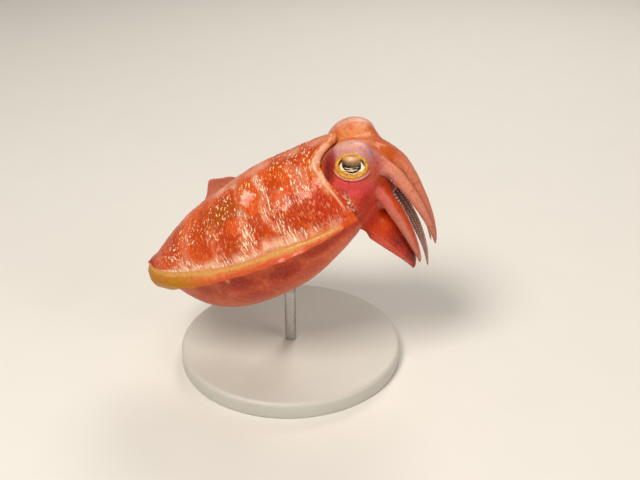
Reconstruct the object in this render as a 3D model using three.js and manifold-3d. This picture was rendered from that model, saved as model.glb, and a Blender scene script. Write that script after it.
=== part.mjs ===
// A common cuttlefish, life size, as a still display model held by a small stand.
// Millimetres, +Z up. The origin is the centre of the stand's underside, and the animal looks along +X.
// The animal is shaped in its own body frame: the tail tip is at the origin, X runs forward along the back,
// Y points to its left and Z to its back. Groups then tilt it nose up and set it on the rod.
import * as THREE from "three";
import { mergeVertices } from "three/addons/utils/BufferGeometryUtils.js";
import Module from "manifold-3d";

const wasm = await Module();
wasm.setup();

// Driving dimensions
const MANTLE_LENGTH = 80;
const NOSE_UP_DEG = 26.5;
const YAW_DEG = -3;
const GAP = 0.3;

// Place of the body in the row's frame: where the tail tip is, from the centre of the stand's underside
const TAIL_TIP = [-49, -3, 38.5];

// Mantle. Each row: place along the length, half width, and the heights of back, fin line and belly,
// all as shares of the mantle's length.
const MANTLE_ROWS = [
  [0.0, 0.0, 0.01, 0.004, -0.002],
  [0.015, 0.016, 0.016, 0.004, -0.014],
  [0.04, 0.06, 0.02, -0.002, -0.055],
  [0.1, 0.125, 0.053, -0.014, -0.176],
  [0.25, 0.215, 0.12, -0.033, -0.323],
  [0.45, 0.285, 0.166, -0.056, -0.35],
  [0.65, 0.3, 0.196, -0.062, -0.33],
  [0.85, 0.28, 0.198, -0.08, -0.246],
  [1.0, 0.24, 0.19, -0.08, -0.16],
];
// The mantle's front edge: angle round the body in degrees (90 is the back), and its share of the length.
// The lobe of the back reaches furthest forward.
const MANTLE_EDGE = [
  [-90, 0.875],
  [-60, 0.9],
  [-35, 0.955],
  [-15, 0.965],
  [20, 0.95],
  [45, 0.915],
  [60, 0.905],
  [72, 0.94],
  [82, 0.985],
  [90, 0.995],
];
const MANTLE_STATIONS = [
  0.015, 0.04, 0.07, 0.11, 0.16, 0.22, 0.29, 0.37, 0.45, 0.53, 0.61, 0.69, 0.77, 0.84, 0.9, 0.95, 1,
];
const MANTLE_SIDES = 38;
// The front edge is a lip of this wall, and the space behind it narrows to where it closes
const COLLAR_WALL = 1.6;
const COLLAR_DEPTH = 6;
const COLLAR_NARROWING = 0.94;
const COLLAR_END_SHARE = 0.8;
const COLLAR_END_HEIGHT = -2;
const TAIL_TIP_HEIGHT = 0.4;

// Fins. Each row: place along the mantle, width, angle above the horizontal in degrees, and how far the
// edge is swept back.
const FIN_ROWS = {
  right: [
    [0.012, 2.8, -26, 1.0],
    [0.05, 5.0, -26, 1.4],
    [0.14, 6.1, -24, 1.3],
    [0.24, 5.9, -32, 0.6],
    [0.33, 4.6, -40, 0],
    [0.42, 3.9, -30, 0],
    [0.55, 4.3, -22, 0],
    [0.68, 3.7, -34, 0],
    [0.8, 2.3, -24, 0],
    [0.87, 1.6, -24, 0],
    [0.91, 1.0, -24, 0],
  ],
  left: [
    [0.012, 3.6, -8, 1.4],
    [0.05, 6.8, -6, 1.8],
    [0.14, 8.6, 0, 1.6],
    [0.22, 9.6, 16, 0.8],
    [0.29, 12.2, 48, 1.8],
    [0.34, 16.2, 60, 1.8],
    [0.42, 14.2, 60, 1.4],
    [0.52, 8.6, 44, 0],
    [0.62, 6.0, 4, 0],
    [0.72, 4.8, -14, 0],
    [0.81, 4.2, -4, 0],
    [0.87, 2.8, -6, 0],
    [0.91, 1.2, -6, 0],
  ],
};
const FIN_STATIONS = 32;
const FIN_STEPS = 4;
const FIN_ROOT_DEPTH = 1.5;
const FIN_ROOT_SHARE = 0.8;
const FIN_ROOT_THICKNESS = 1.3;
const FIN_EDGE_THICKNESS = 0.6;
const FIN_CURL = 0.45;

// Head. Each row: distance forward, height, half width and half height.
const HEAD_ROWS = [
  [66.5, -1.0, 15.2, 12.2],
  [70.5, -1.1, 17.0, 13.8],
  [74.5, -1.4, 18.2, 14.6],
  [79.8, -3.0, 17.8, 14.8],
  [84.0, -5.8, 13.0, 13.2],
  [86.4, -8.4, 8.2, 9.6],
  [87.8, -10.6, 4.2, 5.0],
];
const HEAD_TIP = [88.3, 0, -11.5];
const HEAD_STEPS = 16;
// How far to either side of a ring its slope is taken, in rows
const HEAD_SLOPE_STEP = 0.3;
// Rays of a ring in each quarter: under the middle line, and over it where the eye bulges are
const HEAD_RAYS_BELOW = 5;
const HEAD_RAYS_ABOVE = 12;

// Eyes: each sits in a bulge of the head and looks outwards and a little up.
const BULGE_CENTRE = [81.9, 11.0, 7.0];
const BULGE_RADII = [9.0, 8.4, 8.0];
const BULGE_BLEND = 1.1;
const HEAD_SEARCH_STEP = 0.25;
const HEAD_SEARCH_HALVINGS = 8;
const HEAD_NECK_CAP = 1;
const EYE_UP_DEG = 20;
const EYE_FORWARD = 1.5;
const EYE_DEPTH = 4.0;
const EYE_RADII = [5.7, 5.2, 4.2];
const EYE_SIDES = [18, 11];
// The opening between the lids, and the ring that they raise round it
const EYE_OPENING = [5.3, 4.3];
const EYE_OPENING_FLARE = 1.08;
const EYE_OPENING_LENGTH = 6;
const LID_THICKNESS = 0.55;
const LID_DEPTH = 6.3;
const LID_SIDES = 20;

// Funnel under the head
const FUNNEL_START = [71, -12];
const FUNNEL_END = [81.5, -19.4];
const FUNNEL_RADII = [4.6, 2.4];
const FUNNEL_WALL = 0.8;
const FUNNEL_BORE_DEPTH = 4;
const FUNNEL_SWELL = 0.3;
const FUNNEL_LIP = [0.3, 0.4];
const FUNNEL_SIDES = 14;

// Arms. Each path is four control points of distance forward, distance out from the midline, and height.
// half is the half width across and through the arm at its root. fullness is how late it tapers.
// keel is the breadth of the fin on its outer side.
const ARMS = [
  {
    name: "arm_right_1",
    side: -1,
    path: [[90.9, 3.1, 5.0], [97.6, 4.2, 1.9], [98.1, 3.5, -21.4], [94.4, 2.1, -32.4]],
    half: [3.3, 2.7],
    fullness: 1.5,
    keel: 0,
  },
  {
    name: "arm_right_2",
    side: -1,
    path: [[87.7, 9.4, 5.1], [94.5, 10.8, 5.0], [97.3, 9.1, -21.8], [94.1, 4.2, -32.3]],
    half: [2.7, 2.8],
    fullness: 1.5,
    keel: 0,
  },
  {
    name: "arm_right_3",
    side: -1,
    path: [[82.9, 10.8, -1.2], [90.3, 12.9, 6.5], [89.8, 9.1, -27.6], [86.7, 4.9, -36.2]],
    half: [3.1, 4.4],
    fullness: 2.0,
    keel: 0,
  },
  {
    name: "arm_right_4",
    side: -1,
    path: [[78.4, 7.0, -6.8], [81.2, 8.7, -16.1], [88.0, 5.9, -27.4], [83.6, 2.8, -38.4]],
    half: [3.0, 4.4],
    fullness: 3.0,
    keel: 2.8,
  },
  {
    name: "arm_left_1",
    side: 1,
    path: [[90.1, 3.1, 4.1], [96.5, 4.2, 1.3], [97.8, 3.5, -21.2], [93.3, 1.9, -33.7]],
    half: [3.3, 2.7],
    fullness: 1.5,
    keel: 0,
  },
  {
    name: "arm_left_2",
    side: 1,
    path: [[87.2, 9.4, 4.9], [91.9, 10.1, 2.1], [97.0, 8.4, -17.6], [92.0, 4.2, -34.6]],
    half: [2.7, 2.8],
    fullness: 1.5,
    keel: 0,
  },
  {
    name: "arm_left_3",
    side: 1,
    path: [[82.3, 10.8, -1.4], [85.7, 11.5, -5.5], [93.1, 7.0, -27.9], [87.1, 3.9, -43.0]],
    half: [2.9, 3.1],
    fullness: 2.0,
    keel: 0,
  },
  {
    name: "arm_left_4",
    side: 1,
    path: [[78.2, 7.0, -7.0], [78.9, 8.4, -15.6], [86.4, 5.9, -28.0], [82.3, 3.1, -38.6]],
    half: [3.0, 4.4],
    fullness: 3.0,
    keel: 2.8,
  },
];
// The middle line that the suckers of all arms face
const CROWN_AXIS = [[82.4, 0, -3.5], [91.5, 0, -5.6], [91.5, 0, -24.5], [88.0, 0, -39.1]];
// Shares of the length at which an arm is divided
const ARM_SPLITS = [0, 0.62, 1];
const STATIONS_PER_LENGTH = 8;
const ARM_SIDES = 10;
const ARM_TIP_SHARE = 0.09;
// At its root an arm flares until it meets its neighbours, over this share of its length
const ROOT_FLARE = 0.4;
const ROOT_FLARE_END = 0.45;
const ORAL_FLATNESS = 0.72;
const KEEL_RISE = 0.3;
const KEEL_PINCH = 0.5;
// How much the lengths of one arm pass their ends where the next arm is cut clear of them
const CLEARING_OVERLAP = 0.01;

// Suckers, in two staggered rows on the flat side of each arm, from the root to the tip
const SUCKER_START = 0.2;
const SUCKER_END = 0.97;
// Shares of the arm's half width: from one sucker to the next, a row's distance from the middle, the radius
const SUCKER_SPACING = 1.05;
const SUCKER_ROW = 0.42;
const SUCKER_RADIUS = 0.31;
const SUCKER_LEAST_SPACING = 0.95;
const SUCKER_LEAST_RADIUS = 0.24;
// Shares of the sucker's radius: its height over the arm, its foot, and the dimple on top
const SUCKER_HEIGHT = 0.55;
const SUCKER_FOOT = 0.75;
const SUCKER_DIMPLE = 0.4;
// How far over the arm's middle line a sucker's root starts, as a share of the arm's half height
const SUCKER_ROOT = 0.15;
const SUCKER_SIDES = 6;
const SUCKER_VARIATION = 0.1;
const SUCKER_SEED = 11;

// Display stand
const BASE_RADIUS = 40;
const BASE_HEIGHT = 6;
const BASE_EDGE = 1.5;
const BASE_EDGE_ROUNDING = 0.3;
const BASE_SIDES = 40;
const ROD_RADIUS = 2;
const ROD_SIDES = 24;
const SEAT_RADIUS = 4;
const SEAT_HEIGHT = 7;
const ROD_TOP = 40;

// Value of the rows' smooth curve at x. It never overshoots between two rows.
function smooth(rows, x) {
  const last = rows.length - 1;
  const slope = (i, c) => (rows[i + 1][c] - rows[i][c]) / (rows[i + 1][0] - rows[i][0]);
  const tangent = (i, c) => {
    if (i === 0) return slope(0, c);
    if (i === last) return slope(last - 1, c);
    const before = slope(i - 1, c);
    const after = slope(i, c);
    if (before * after <= 0) return 0;
    const widthBefore = rows[i][0] - rows[i - 1][0];
    const widthAfter = rows[i + 1][0] - rows[i][0];
    const mean = (before * widthAfter + after * widthBefore) / (widthBefore + widthAfter);
    const most = 3 * Math.min(Math.abs(before), Math.abs(after));
    return Math.sign(mean) * Math.min(Math.abs(mean), most);
  };
  let i = 0;
  while (i < last - 1 && x > rows[i + 1][0]) i++;
  const h = rows[i + 1][0] - rows[i][0];
  const u = THREE.MathUtils.clamp((x - rows[i][0]) / h, 0, 1);
  return rows[i].slice(1).map((low, k) => {
    const c = k + 1;
    const high = rows[i + 1][c];
    return (
      (2 * u ** 3 - 3 * u ** 2 + 1) * low +
      (u ** 3 - 2 * u ** 2 + u) * h * tangent(i, c) +
      (3 * u ** 2 - 2 * u ** 3) * high +
      (u ** 3 - u ** 2) * h * tangent(i + 1, c)
    );
  });
}

const vector = (p) => new THREE.Vector3(...p);
const turn = (j, sides) => (2 * Math.PI * j) / sides;

// A solid from any closed three.js geometry, with its faces turned outwards
function solidOf(geometry) {
  const bare = geometry.clone();
  bare.deleteAttribute("normal");
  bare.deleteAttribute("uv");
  const merged = mergeVertices(bare, 1e-5);
  const points = merged.attributes.position.array;
  const corners = Array.from(merged.index.array);
  const kept = [];
  for (let i = 0; i < corners.length; i += 3) {
    const [a, b, c] = corners.slice(i, i + 3);
    if (a !== b && b !== c && c !== a) kept.push(a, b, c);
  }
  const build = (order) =>
    new wasm.Manifold(
      new wasm.Mesh({
        numProp: 3,
        vertProperties: Float32Array.from(points),
        triVerts: Uint32Array.from(order),
      }),
    );
  const solid = build(kept);
  if (solid.volume() > 0) return solid;
  return build(kept.reverse());
}

function geometryOf(solid) {
  const mesh = solid.getMesh();
  const geometry = new THREE.BufferGeometry();
  geometry.setAttribute("position", new THREE.BufferAttribute(mesh.vertProperties, 3));
  geometry.setIndex(new THREE.BufferAttribute(mesh.triVerts, 1));
  return geometry;
}

// The largest closed surface of a solid
function largest(solid) {
  const bodies = solid.decompose();
  return bodies.reduce((best, body) => (body.volume() > best.volume() ? body : best));
}

// A closed body over rings of equal count, with a fan to one point at each end
function loft(rings, start, end) {
  const sides = rings[0].length;
  const points = [start, ...rings.flat(), end];
  const at = (ring, j) => 1 + ring * sides + (j % sides);
  const faces = [];
  for (let j = 0; j < sides; j++) {
    faces.push(0, at(0, j + 1), at(0, j));
    faces.push(points.length - 1, at(rings.length - 1, j), at(rings.length - 1, j + 1));
    for (let r = 0; r < rings.length - 1; r++) {
      faces.push(at(r, j), at(r, j + 1), at(r + 1, j));
      faces.push(at(r, j + 1), at(r + 1, j + 1), at(r + 1, j));
    }
  }
  const geometry = new THREE.BufferGeometry().setFromPoints(points);
  geometry.setIndex(faces);
  return solidOf(geometry);
}

// Point of the mantle's skin at a share of the length and an angle round the body
function mantlePoint(share, angle, grow = 0, scale = 1) {
  const [halfWidth, back, level, belly] = smooth(MANTLE_ROWS, share).map((v) => v * MANTLE_LENGTH);
  const sine = Math.sin(angle);
  const rise = (sine > 0 ? back - level : level - belly) * scale + grow;
  return new THREE.Vector3(
    share * MANTLE_LENGTH,
    (halfWidth * scale + grow) * Math.cos(angle),
    level + rise * sine,
  );
}

// Share of the length at which the mantle's front edge lies, at an angle round the body
function edgeShare(angle) {
  const height = THREE.MathUtils.radToDeg(Math.asin(THREE.MathUtils.clamp(Math.sin(angle), -1, 1)));
  return smooth(MANTLE_EDGE, height)[0];
}

function mantleSolid(grow = 0) {
  const angles = Array.from({ length: MANTLE_SIDES }, (_, j) => turn(j, MANTLE_SIDES));
  const rings = MANTLE_STATIONS.map((station) =>
    angles.map((angle) => mantlePoint(station * edgeShare(angle), angle, grow)),
  );
  const front = rings[rings.length - 1].map((p) => p.clone().setX(p.x + grow));
  const [halfWidth] = smooth(MANTLE_ROWS, 1);
  const innerScale = 1 - COLLAR_WALL / (halfWidth * MANTLE_LENGTH);
  const inner = angles.map((angle) => mantlePoint(edgeShare(angle), angle, 0, innerScale));
  const deep = angles.map((angle) => {
    const p = mantlePoint(edgeShare(angle), angle, 0, innerScale * COLLAR_NARROWING);
    return p.setX(p.x - COLLAR_DEPTH);
  });
  const tail = new THREE.Vector3(-grow, 0, TAIL_TIP_HEIGHT);
  const closing = new THREE.Vector3(COLLAR_END_SHARE * MANTLE_LENGTH, 0, COLLAR_END_HEIGHT);
  return loft([...rings, front, inner, deep], tail, closing);
}

// A fin: a curling sheet that grows out of the widest line of the mantle
function finSolid(sideName) {
  const side = sideName === "left" ? 1 : -1;
  const rows = FIN_ROWS[sideName];
  const first = rows[0][0];
  const last = rows[rows.length - 1][0];
  const rings = [];
  for (let i = 0; i <= FIN_STATIONS; i++) {
    const share = first + ((last - first) * i) / FIN_STATIONS;
    const [width, angleDeg, sweep] = smooth(rows, share);
    const [halfWidth, , level] = smooth(MANTLE_ROWS, share).map((v) => v * MANTLE_LENGTH);
    const depth = Math.min(FIN_ROOT_DEPTH, FIN_ROOT_SHARE * halfWidth);
    const length = width + depth;
    const upper = [];
    const lower = [];
    let y = halfWidth - depth;
    let z = level;
    for (let k = 0; k <= FIN_STEPS; k++) {
      const out = k / FIN_STEPS;
      const angle = THREE.MathUtils.degToRad(angleDeg) * (1 - FIN_CURL + 2 * FIN_CURL * out);
      if (k > 0) {
        y += (Math.cos(angle) * length) / FIN_STEPS;
        z += (Math.sin(angle) * length) / FIN_STEPS;
      }
      const thickness = THREE.MathUtils.lerp(FIN_ROOT_THICKNESS, FIN_EDGE_THICKNESS, out) / 2;
      const x = share * MANTLE_LENGTH - sweep * out;
      const across = Math.sin(angle) * thickness;
      const through = Math.cos(angle) * thickness;
      upper.push(new THREE.Vector3(x, side * (y - across), z + through));
      lower.push(new THREE.Vector3(x, side * (y + across), z - through));
    }
    rings.push([...upper, ...lower.reverse()]);
  }
  return stripLoft(rings);
}

// A thin closed body over rings that hold an upper and a lower row, with both ends stitched flat
function stripLoft(rings) {
  const sides = rings[0].length;
  const points = rings.flat();
  const at = (ring, j) => ring * sides + (j % sides);
  const faces = [];
  for (let r = 0; r < rings.length - 1; r++) {
    for (let j = 0; j < sides; j++) {
      const upperHalf = j < sides / 2;
      const [a, b, c, d] = [at(r, j), at(r, j + 1), at(r + 1, j + 1), at(r + 1, j)];
      if (upperHalf) faces.push(a, b, d, b, c, d);
      else faces.push(a, b, c, a, c, d);
    }
  }
  for (let j = 0; j < sides / 2 - 1; j++) {
    const k = sides - 1 - j;
    const end = rings.length - 1;
    faces.push(at(0, j), at(0, k), at(0, j + 1), at(0, j + 1), at(0, k), at(0, k - 1));
    faces.push(at(end, j), at(end, j + 1), at(end, k), at(end, j + 1), at(end, k - 1), at(end, k));
  }
  const geometry = new THREE.BufferGeometry().setFromPoints(points);
  geometry.setIndex(faces);
  return solidOf(geometry);
}

// The frame of an eye: forward, up along its face, and the direction it looks
function eyeFrame(side, depth) {
  const tilt = THREE.MathUtils.degToRad(EYE_UP_DEG);
  const look = new THREE.Vector3(0, side * Math.cos(tilt), Math.sin(tilt));
  const up = new THREE.Vector3(0, -side * Math.sin(tilt), Math.cos(tilt));
  const forward = new THREE.Vector3().crossVectors(up, look);
  const [x, y, z] = BULGE_CENTRE;
  const centre = new THREE.Vector3(x + EYE_FORWARD, side * y, z).addScaledVector(look, depth);
  return new THREE.Matrix4().makeBasis(forward, up, look).setPosition(centre);
}

function eyeSolid(side, grow = 0) {
  const ball = new THREE.SphereGeometry(1, ...EYE_SIDES);
  ball.scale(...EYE_RADII.map((r) => r + grow));
  ball.applyMatrix4(eyeFrame(side, EYE_DEPTH));
  return solidOf(ball);
}

// The opening between the lids, a cone that widens outwards
function lidOpening(side) {
  const cone = new THREE.CylinderGeometry(EYE_OPENING_FLARE, 1, EYE_OPENING_LENGTH, LID_SIDES);
  cone.rotateX(Math.PI / 2);
  cone.scale(EYE_OPENING[0], EYE_OPENING[1], 1);
  cone.applyMatrix4(eyeFrame(side, LID_DEPTH + EYE_OPENING_LENGTH / 3));
  return solidOf(cone);
}

// The raised ring of the lids round the opening
function lidRing(side) {
  const ring = new THREE.TorusGeometry(1, LID_THICKNESS / EYE_OPENING[1], 5, LID_SIDES);
  ring.scale(EYE_OPENING[0] + LID_THICKNESS, EYE_OPENING[1] + LID_THICKNESS, EYE_OPENING[1]);
  ring.applyMatrix4(eyeFrame(side, LID_DEPTH));
  return solidOf(ring);
}

// Signed distance to the head's skin from a point on a ray of one of its rings: the plain ring and both
// eye bulges, blended so that no crease is left between them
function headDistance(beyondRing, point) {
  const [x, y, z] = BULGE_CENTRE;
  const mean = (BULGE_RADII[0] + BULGE_RADII[1] + BULGE_RADII[2]) / 3;
  const distances = [beyondRing];
  for (const side of [1, -1]) {
    const from = [point.x - x, point.y - side * y, point.z - z];
    distances.push((Math.hypot(...from.map((v, k) => v / BULGE_RADII[k])) - 1) * mean);
  }
  const nearest = Math.min(...distances);
  const sum = distances.reduce((total, d) => total + Math.exp((nearest - d) / BULGE_BLEND), 0);
  return nearest - BULGE_BLEND * Math.log(sum);
}

// Directions of the rays round a ring, from the left side over the top
function headAngles() {
  const right = Math.PI / 2;
  const angles = [];
  for (let j = 0; j < HEAD_RAYS_ABOVE; j++) angles.push((right * j) / HEAD_RAYS_ABOVE);
  for (let j = 0; j < HEAD_RAYS_ABOVE; j++) angles.push(right + (right * j) / HEAD_RAYS_ABOVE);
  for (let j = 0; j < HEAD_RAYS_BELOW; j++) angles.push(2 * right + (right * j) / HEAD_RAYS_BELOW);
  for (let j = 0; j < HEAD_RAYS_BELOW; j++) angles.push(3 * right + (right * j) / HEAD_RAYS_BELOW);
  return angles;
}

// Point of the head's skin on a ray, found by halving between a point inside and one outside
function headPoint(centre, direction, plain, grow) {
  const at = (beyond) => centre.clone().addScaledVector(direction, plain + beyond);
  const isOutside = (beyond) => headDistance(beyond, at(beyond)) > grow;
  let inside = BULGE_RADII[0] + grow;
  while (inside > 0 && isOutside(inside)) inside -= HEAD_SEARCH_STEP;
  let outside = inside + HEAD_SEARCH_STEP;
  for (let i = 0; i < HEAD_SEARCH_HALVINGS; i++) {
    const middle = (inside + outside) / 2;
    if (isOutside(middle)) outside = middle;
    else inside = middle;
  }
  return at(inside);
}

// The head's body: rings set square to a middle line that bends down towards the arms
function headBody(grow = 0) {
  const rows = HEAD_ROWS.map((row, i) => [i, ...row]);
  const last = rows.length - 1;
  const rings = [];
  for (let i = 0; i <= HEAD_STEPS; i++) {
    const place = (last * i) / HEAD_STEPS;
    const [x, z, halfWidth, halfHeight] = smooth(rows, place);
    const [x0, z0] = smooth(rows, Math.max(place - HEAD_SLOPE_STEP, 0));
    const [x1, z1] = smooth(rows, Math.min(place + HEAD_SLOPE_STEP, last));
    const slope = Math.atan2(z1 - z0, x1 - x0);
    const centre = new THREE.Vector3(x, 0, z);
    rings.push(
      headAngles().map((angle) => {
        const [cosine, sine] = [Math.cos(angle), Math.sin(angle)];
        const direction = new THREE.Vector3(-sine * Math.sin(slope), cosine, sine * Math.cos(slope));
        const plain = 1 / Math.hypot(cosine / halfWidth, sine / halfHeight);
        return headPoint(centre, direction, plain, grow);
      }),
    );
  }
  const neck = new THREE.Vector3(HEAD_ROWS[0][0] - HEAD_NECK_CAP - grow, 0, HEAD_ROWS[0][1]);
  const tip = vector(HEAD_TIP).add(new THREE.Vector3(grow, 0, -grow));
  return loft(rings, neck, tip);
}

function headSolid() {
  let head = headBody();
  for (const side of [1, -1]) head = head.add(lidRing(side));
  for (const side of [1, -1]) head = head.subtract(lidOpening(side)).subtract(eyeSolid(side, GAP));
  return largest(head);
}

// A tube about the funnel's middle line, from its profile of radius and distance along
function funnelTube(profile) {
  const start = new THREE.Vector3(FUNNEL_START[0], 0, FUNNEL_START[1]);
  const end = new THREE.Vector3(FUNNEL_END[0], 0, FUNNEL_END[1]);
  const along = end.clone().sub(start).normalize();
  const points = profile(start.distanceTo(end)).map(([r, y]) => new THREE.Vector2(r, y));
  const tube = new THREE.LatheGeometry(points, FUNNEL_SIDES);
  tube.applyQuaternion(new THREE.Quaternion().setFromUnitVectors(new THREE.Vector3(0, 1, 0), along));
  tube.translate(...start.toArray());
  return solidOf(tube);
}

// The funnel: a tapering tube under the head with an open end
function funnelSolid() {
  const [rootRadius, tipRadius] = FUNNEL_RADII;
  const tube = funnelTube((length) => [
    [0, 0],
    [rootRadius, 0],
    [(rootRadius + tipRadius) / 2 + FUNNEL_SWELL, length / 2],
    [tipRadius, length - FUNNEL_LIP[1]],
    [tipRadius - FUNNEL_LIP[0], length],
    [tipRadius - FUNNEL_WALL, length],
    [tipRadius - FUNNEL_WALL, length - FUNNEL_BORE_DEPTH],
    [0, length - FUNNEL_BORE_DEPTH],
  ]);
  return largest(tube.subtract(headBody(GAP)).subtract(mantleSolid(GAP)));
}

// The room that the arms leave the funnel
function funnelRoom() {
  const [rootRadius, tipRadius] = FUNNEL_RADII;
  return funnelTube((length) => [
    [0, 0],
    [rootRadius + GAP, 0],
    [(rootRadius + tipRadius) / 2 + FUNNEL_SWELL + GAP, length / 2],
    [tipRadius + GAP, length + GAP],
    [0, length + GAP],
  ]);
}

// The arm's middle line, its suckers' direction and its cross-section frame at a share of its length
function armFrame(arm, share, grow) {
  const curveOf = (points, side) =>
    new THREE.CubicBezierCurve3(...points.map(([x, out, z]) => new THREE.Vector3(x, side * out, z)));
  const path = curveOf(arm.path, arm.side);
  const axis = curveOf(CROWN_AXIS, 1);
  const centre = path.getPoint(share);
  const tangent = path.getTangent(share);
  const oral = axis.getPoint(share).sub(centre);
  oral.addScaledVector(tangent, -oral.dot(tangent)).normalize();
  const across = new THREE.Vector3().crossVectors(tangent, oral);
  const taper = (1 - share ** arm.fullness) * (1 - ARM_TIP_SHARE) + ARM_TIP_SHARE;
  const flare = 1 + ROOT_FLARE * Math.max(1 - share / ROOT_FLARE_END, 0) ** 2;
  const risen = arm.keel * taper * THREE.MathUtils.smoothstep(share, 0, KEEL_RISE);
  const keel = risen + (arm.keel > 0 ? grow : 0);
  const halfWidth = arm.half[0] * taper * flare + grow;
  const halfHeight = arm.half[1] * taper * flare + grow;
  return { centre, tangent, oral, across, halfWidth, halfHeight, keel };
}

// One ring of an arm: round outside, flatter where the suckers are, drawn out into the keel
function armRing(arm, share, grow) {
  const f = armFrame(arm, share, grow);
  return Array.from({ length: ARM_SIDES }, (_, j) => {
    const angle = turn(j, ARM_SIDES);
    const sine = Math.sin(angle);
    const outward = Math.max(-sine, 0);
    const facing = ORAL_FLATNESS * f.halfHeight * sine;
    const height = sine > 0 ? facing : f.halfHeight * sine - f.keel * outward ** 2;
    const pinch = 1 - (KEEL_PINCH * f.keel * outward) / (f.keel + f.halfHeight);
    return f.centre
      .clone()
      .addScaledVector(f.across, f.halfWidth * pinch * Math.cos(angle))
      .addScaledVector(f.oral, height);
  });
}

function armSolid(arm, from, to, grow = 0) {
  const rings = [];
  for (let i = 0; i <= STATIONS_PER_LENGTH; i++) {
    rings.push(armRing(arm, THREE.MathUtils.lerp(from, to, i / STATIONS_PER_LENGTH), grow));
  }
  const start = armFrame(arm, from, grow).centre;
  const end = armFrame(arm, to, grow);
  const tip = to === 1 ? end.centre.clone().addScaledVector(end.tangent, end.halfWidth) : end.centre;
  return loft(rings, start, tip);
}

// Repeatable random numbers from 0 to 1
function randomFrom(seed) {
  let state = seed;
  return () => {
    state = (state * 1664525 + 1013904223) % 4294967296;
    return state / 4294967296;
  };
}

// A cup with its root inside the arm and a dimple on top
function suckerSolid(foot, direction, radius, length) {
  const profile = [
    [0, 0],
    [SUCKER_FOOT * radius, 0],
    [radius, length],
    [0, length - SUCKER_DIMPLE * radius],
  ].map(([r, y]) => new THREE.Vector2(r, y));
  const cup = new THREE.LatheGeometry(profile, SUCKER_SIDES);
  cup.applyQuaternion(new THREE.Quaternion().setFromUnitVectors(new THREE.Vector3(0, 1, 0), direction));
  cup.translate(...foot.toArray());
  return solidOf(cup);
}

// The suckers of one length of an arm
function suckersOf(arm, armLength, from, to, random) {
  const suckers = [];
  let share = SUCKER_START;
  let row = 1;
  while (share < SUCKER_END) {
    const f = armFrame(arm, share, 0);
    const radius = Math.max(SUCKER_RADIUS * f.halfWidth, SUCKER_LEAST_RADIUS);
    const margin = (radius + GAP) / armLength;
    if (share > from + margin && share < to - (to < 1 ? margin : 0)) {
      const varied = radius * (1 + SUCKER_VARIATION * (2 * random() - 1));
      const surface = ORAL_FLATNESS * f.halfHeight * Math.sqrt(1 - SUCKER_ROW ** 2);
      const root = SUCKER_ROOT * f.halfHeight;
      const foot = f.centre
        .clone()
        .addScaledVector(f.across, row * SUCKER_ROW * f.halfWidth)
        .addScaledVector(f.oral, root);
      suckers.push(suckerSolid(foot, f.oral, varied, surface - root + SUCKER_HEIGHT * varied));
    }
    share += Math.max(SUCKER_SPACING * f.halfWidth, SUCKER_LEAST_SPACING) / armLength;
    row = -row;
  }
  return suckers;
}

// The lengths of one arm, each clear of the head, the mantle and the arms made before it
function armLengths(arm, obstacles, random) {
  const line = new THREE.CubicBezierCurve3(...arm.path.map((p) => vector(p)));
  const length = line.getLength();
  const gapShare = GAP / length;
  return ARM_SPLITS.slice(1).map((end, k) => {
    const from = ARM_SPLITS[k] + (k > 0 ? gapShare / 2 : 0);
    const to = end - (end < 1 ? gapShare / 2 : 0);
    let solid = armSolid(arm, from, to);
    for (const sucker of suckersOf(arm, length, from, to, random)) solid = solid.add(sucker);
    for (const obstacle of obstacles) solid = solid.subtract(obstacle);
    return largest(solid);
  });
}

const skin = (colour, roughness = 0.4) =>
  new THREE.MeshStandardMaterial({ color: colour, roughness, metalness: 0 });

function meshOf(name, solid, material) {
  const mesh = new THREE.Mesh(geometryOf(solid), material);
  mesh.name = name;
  return mesh;
}

// The animal in its body frame
function makeAnimal() {
  const animal = new THREE.Group();
  const headGrown = headBody(GAP);
  const mantleGrown = mantleSolid(GAP);
  animal.add(meshOf("mantle", largest(mantleSolid().subtract(headGrown)), skin(0xc8401c)));
  for (const side of ["left", "right"]) {
    const fin = largest(finSolid(side).subtract(mantleGrown));
    animal.add(meshOf("fin_" + side, fin, skin(0xd98a4a)));
  }
  animal.add(meshOf("head", headSolid(), skin(0xc4564a)));
  for (const [name, side] of [["left", 1], ["right", -1]]) {
    animal.add(meshOf("eye_" + name, eyeSolid(side), skin(0xc99a3a, 0.1)));
  }
  animal.add(meshOf("funnel", funnelSolid(), skin(0xd07a6a)));
  const obstacles = [headGrown, mantleGrown, funnelRoom()];
  const random = randomFrom(SUCKER_SEED);
  for (const arm of ARMS) {
    armLengths(arm, obstacles, random).forEach((solid, k) => {
      const part = k === 0 ? "_base" : "_tip";
      animal.add(meshOf(arm.name + part, solid, skin(0xcf5a44)));
    });
    for (const [k, end] of ARM_SPLITS.slice(1).entries()) {
      const from = Math.max(ARM_SPLITS[k] - CLEARING_OVERLAP, 0);
      obstacles.push(armSolid(arm, from, Math.min(end + CLEARING_OVERLAP, 1), GAP));
    }
  }
  return animal;
}

// The body's turn and place in the row's frame
function placeBody(animal) {
  const pitched = new THREE.Group();
  pitched.add(animal);
  pitched.rotation.y = -THREE.MathUtils.degToRad(NOSE_UP_DEG);
  const placed = new THREE.Group();
  placed.add(pitched);
  placed.rotation.z = THREE.MathUtils.degToRad(YAW_DEG);
  placed.position.set(...TAIL_TIP);
  placed.updateMatrixWorld(true);
  return placed;
}

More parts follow.
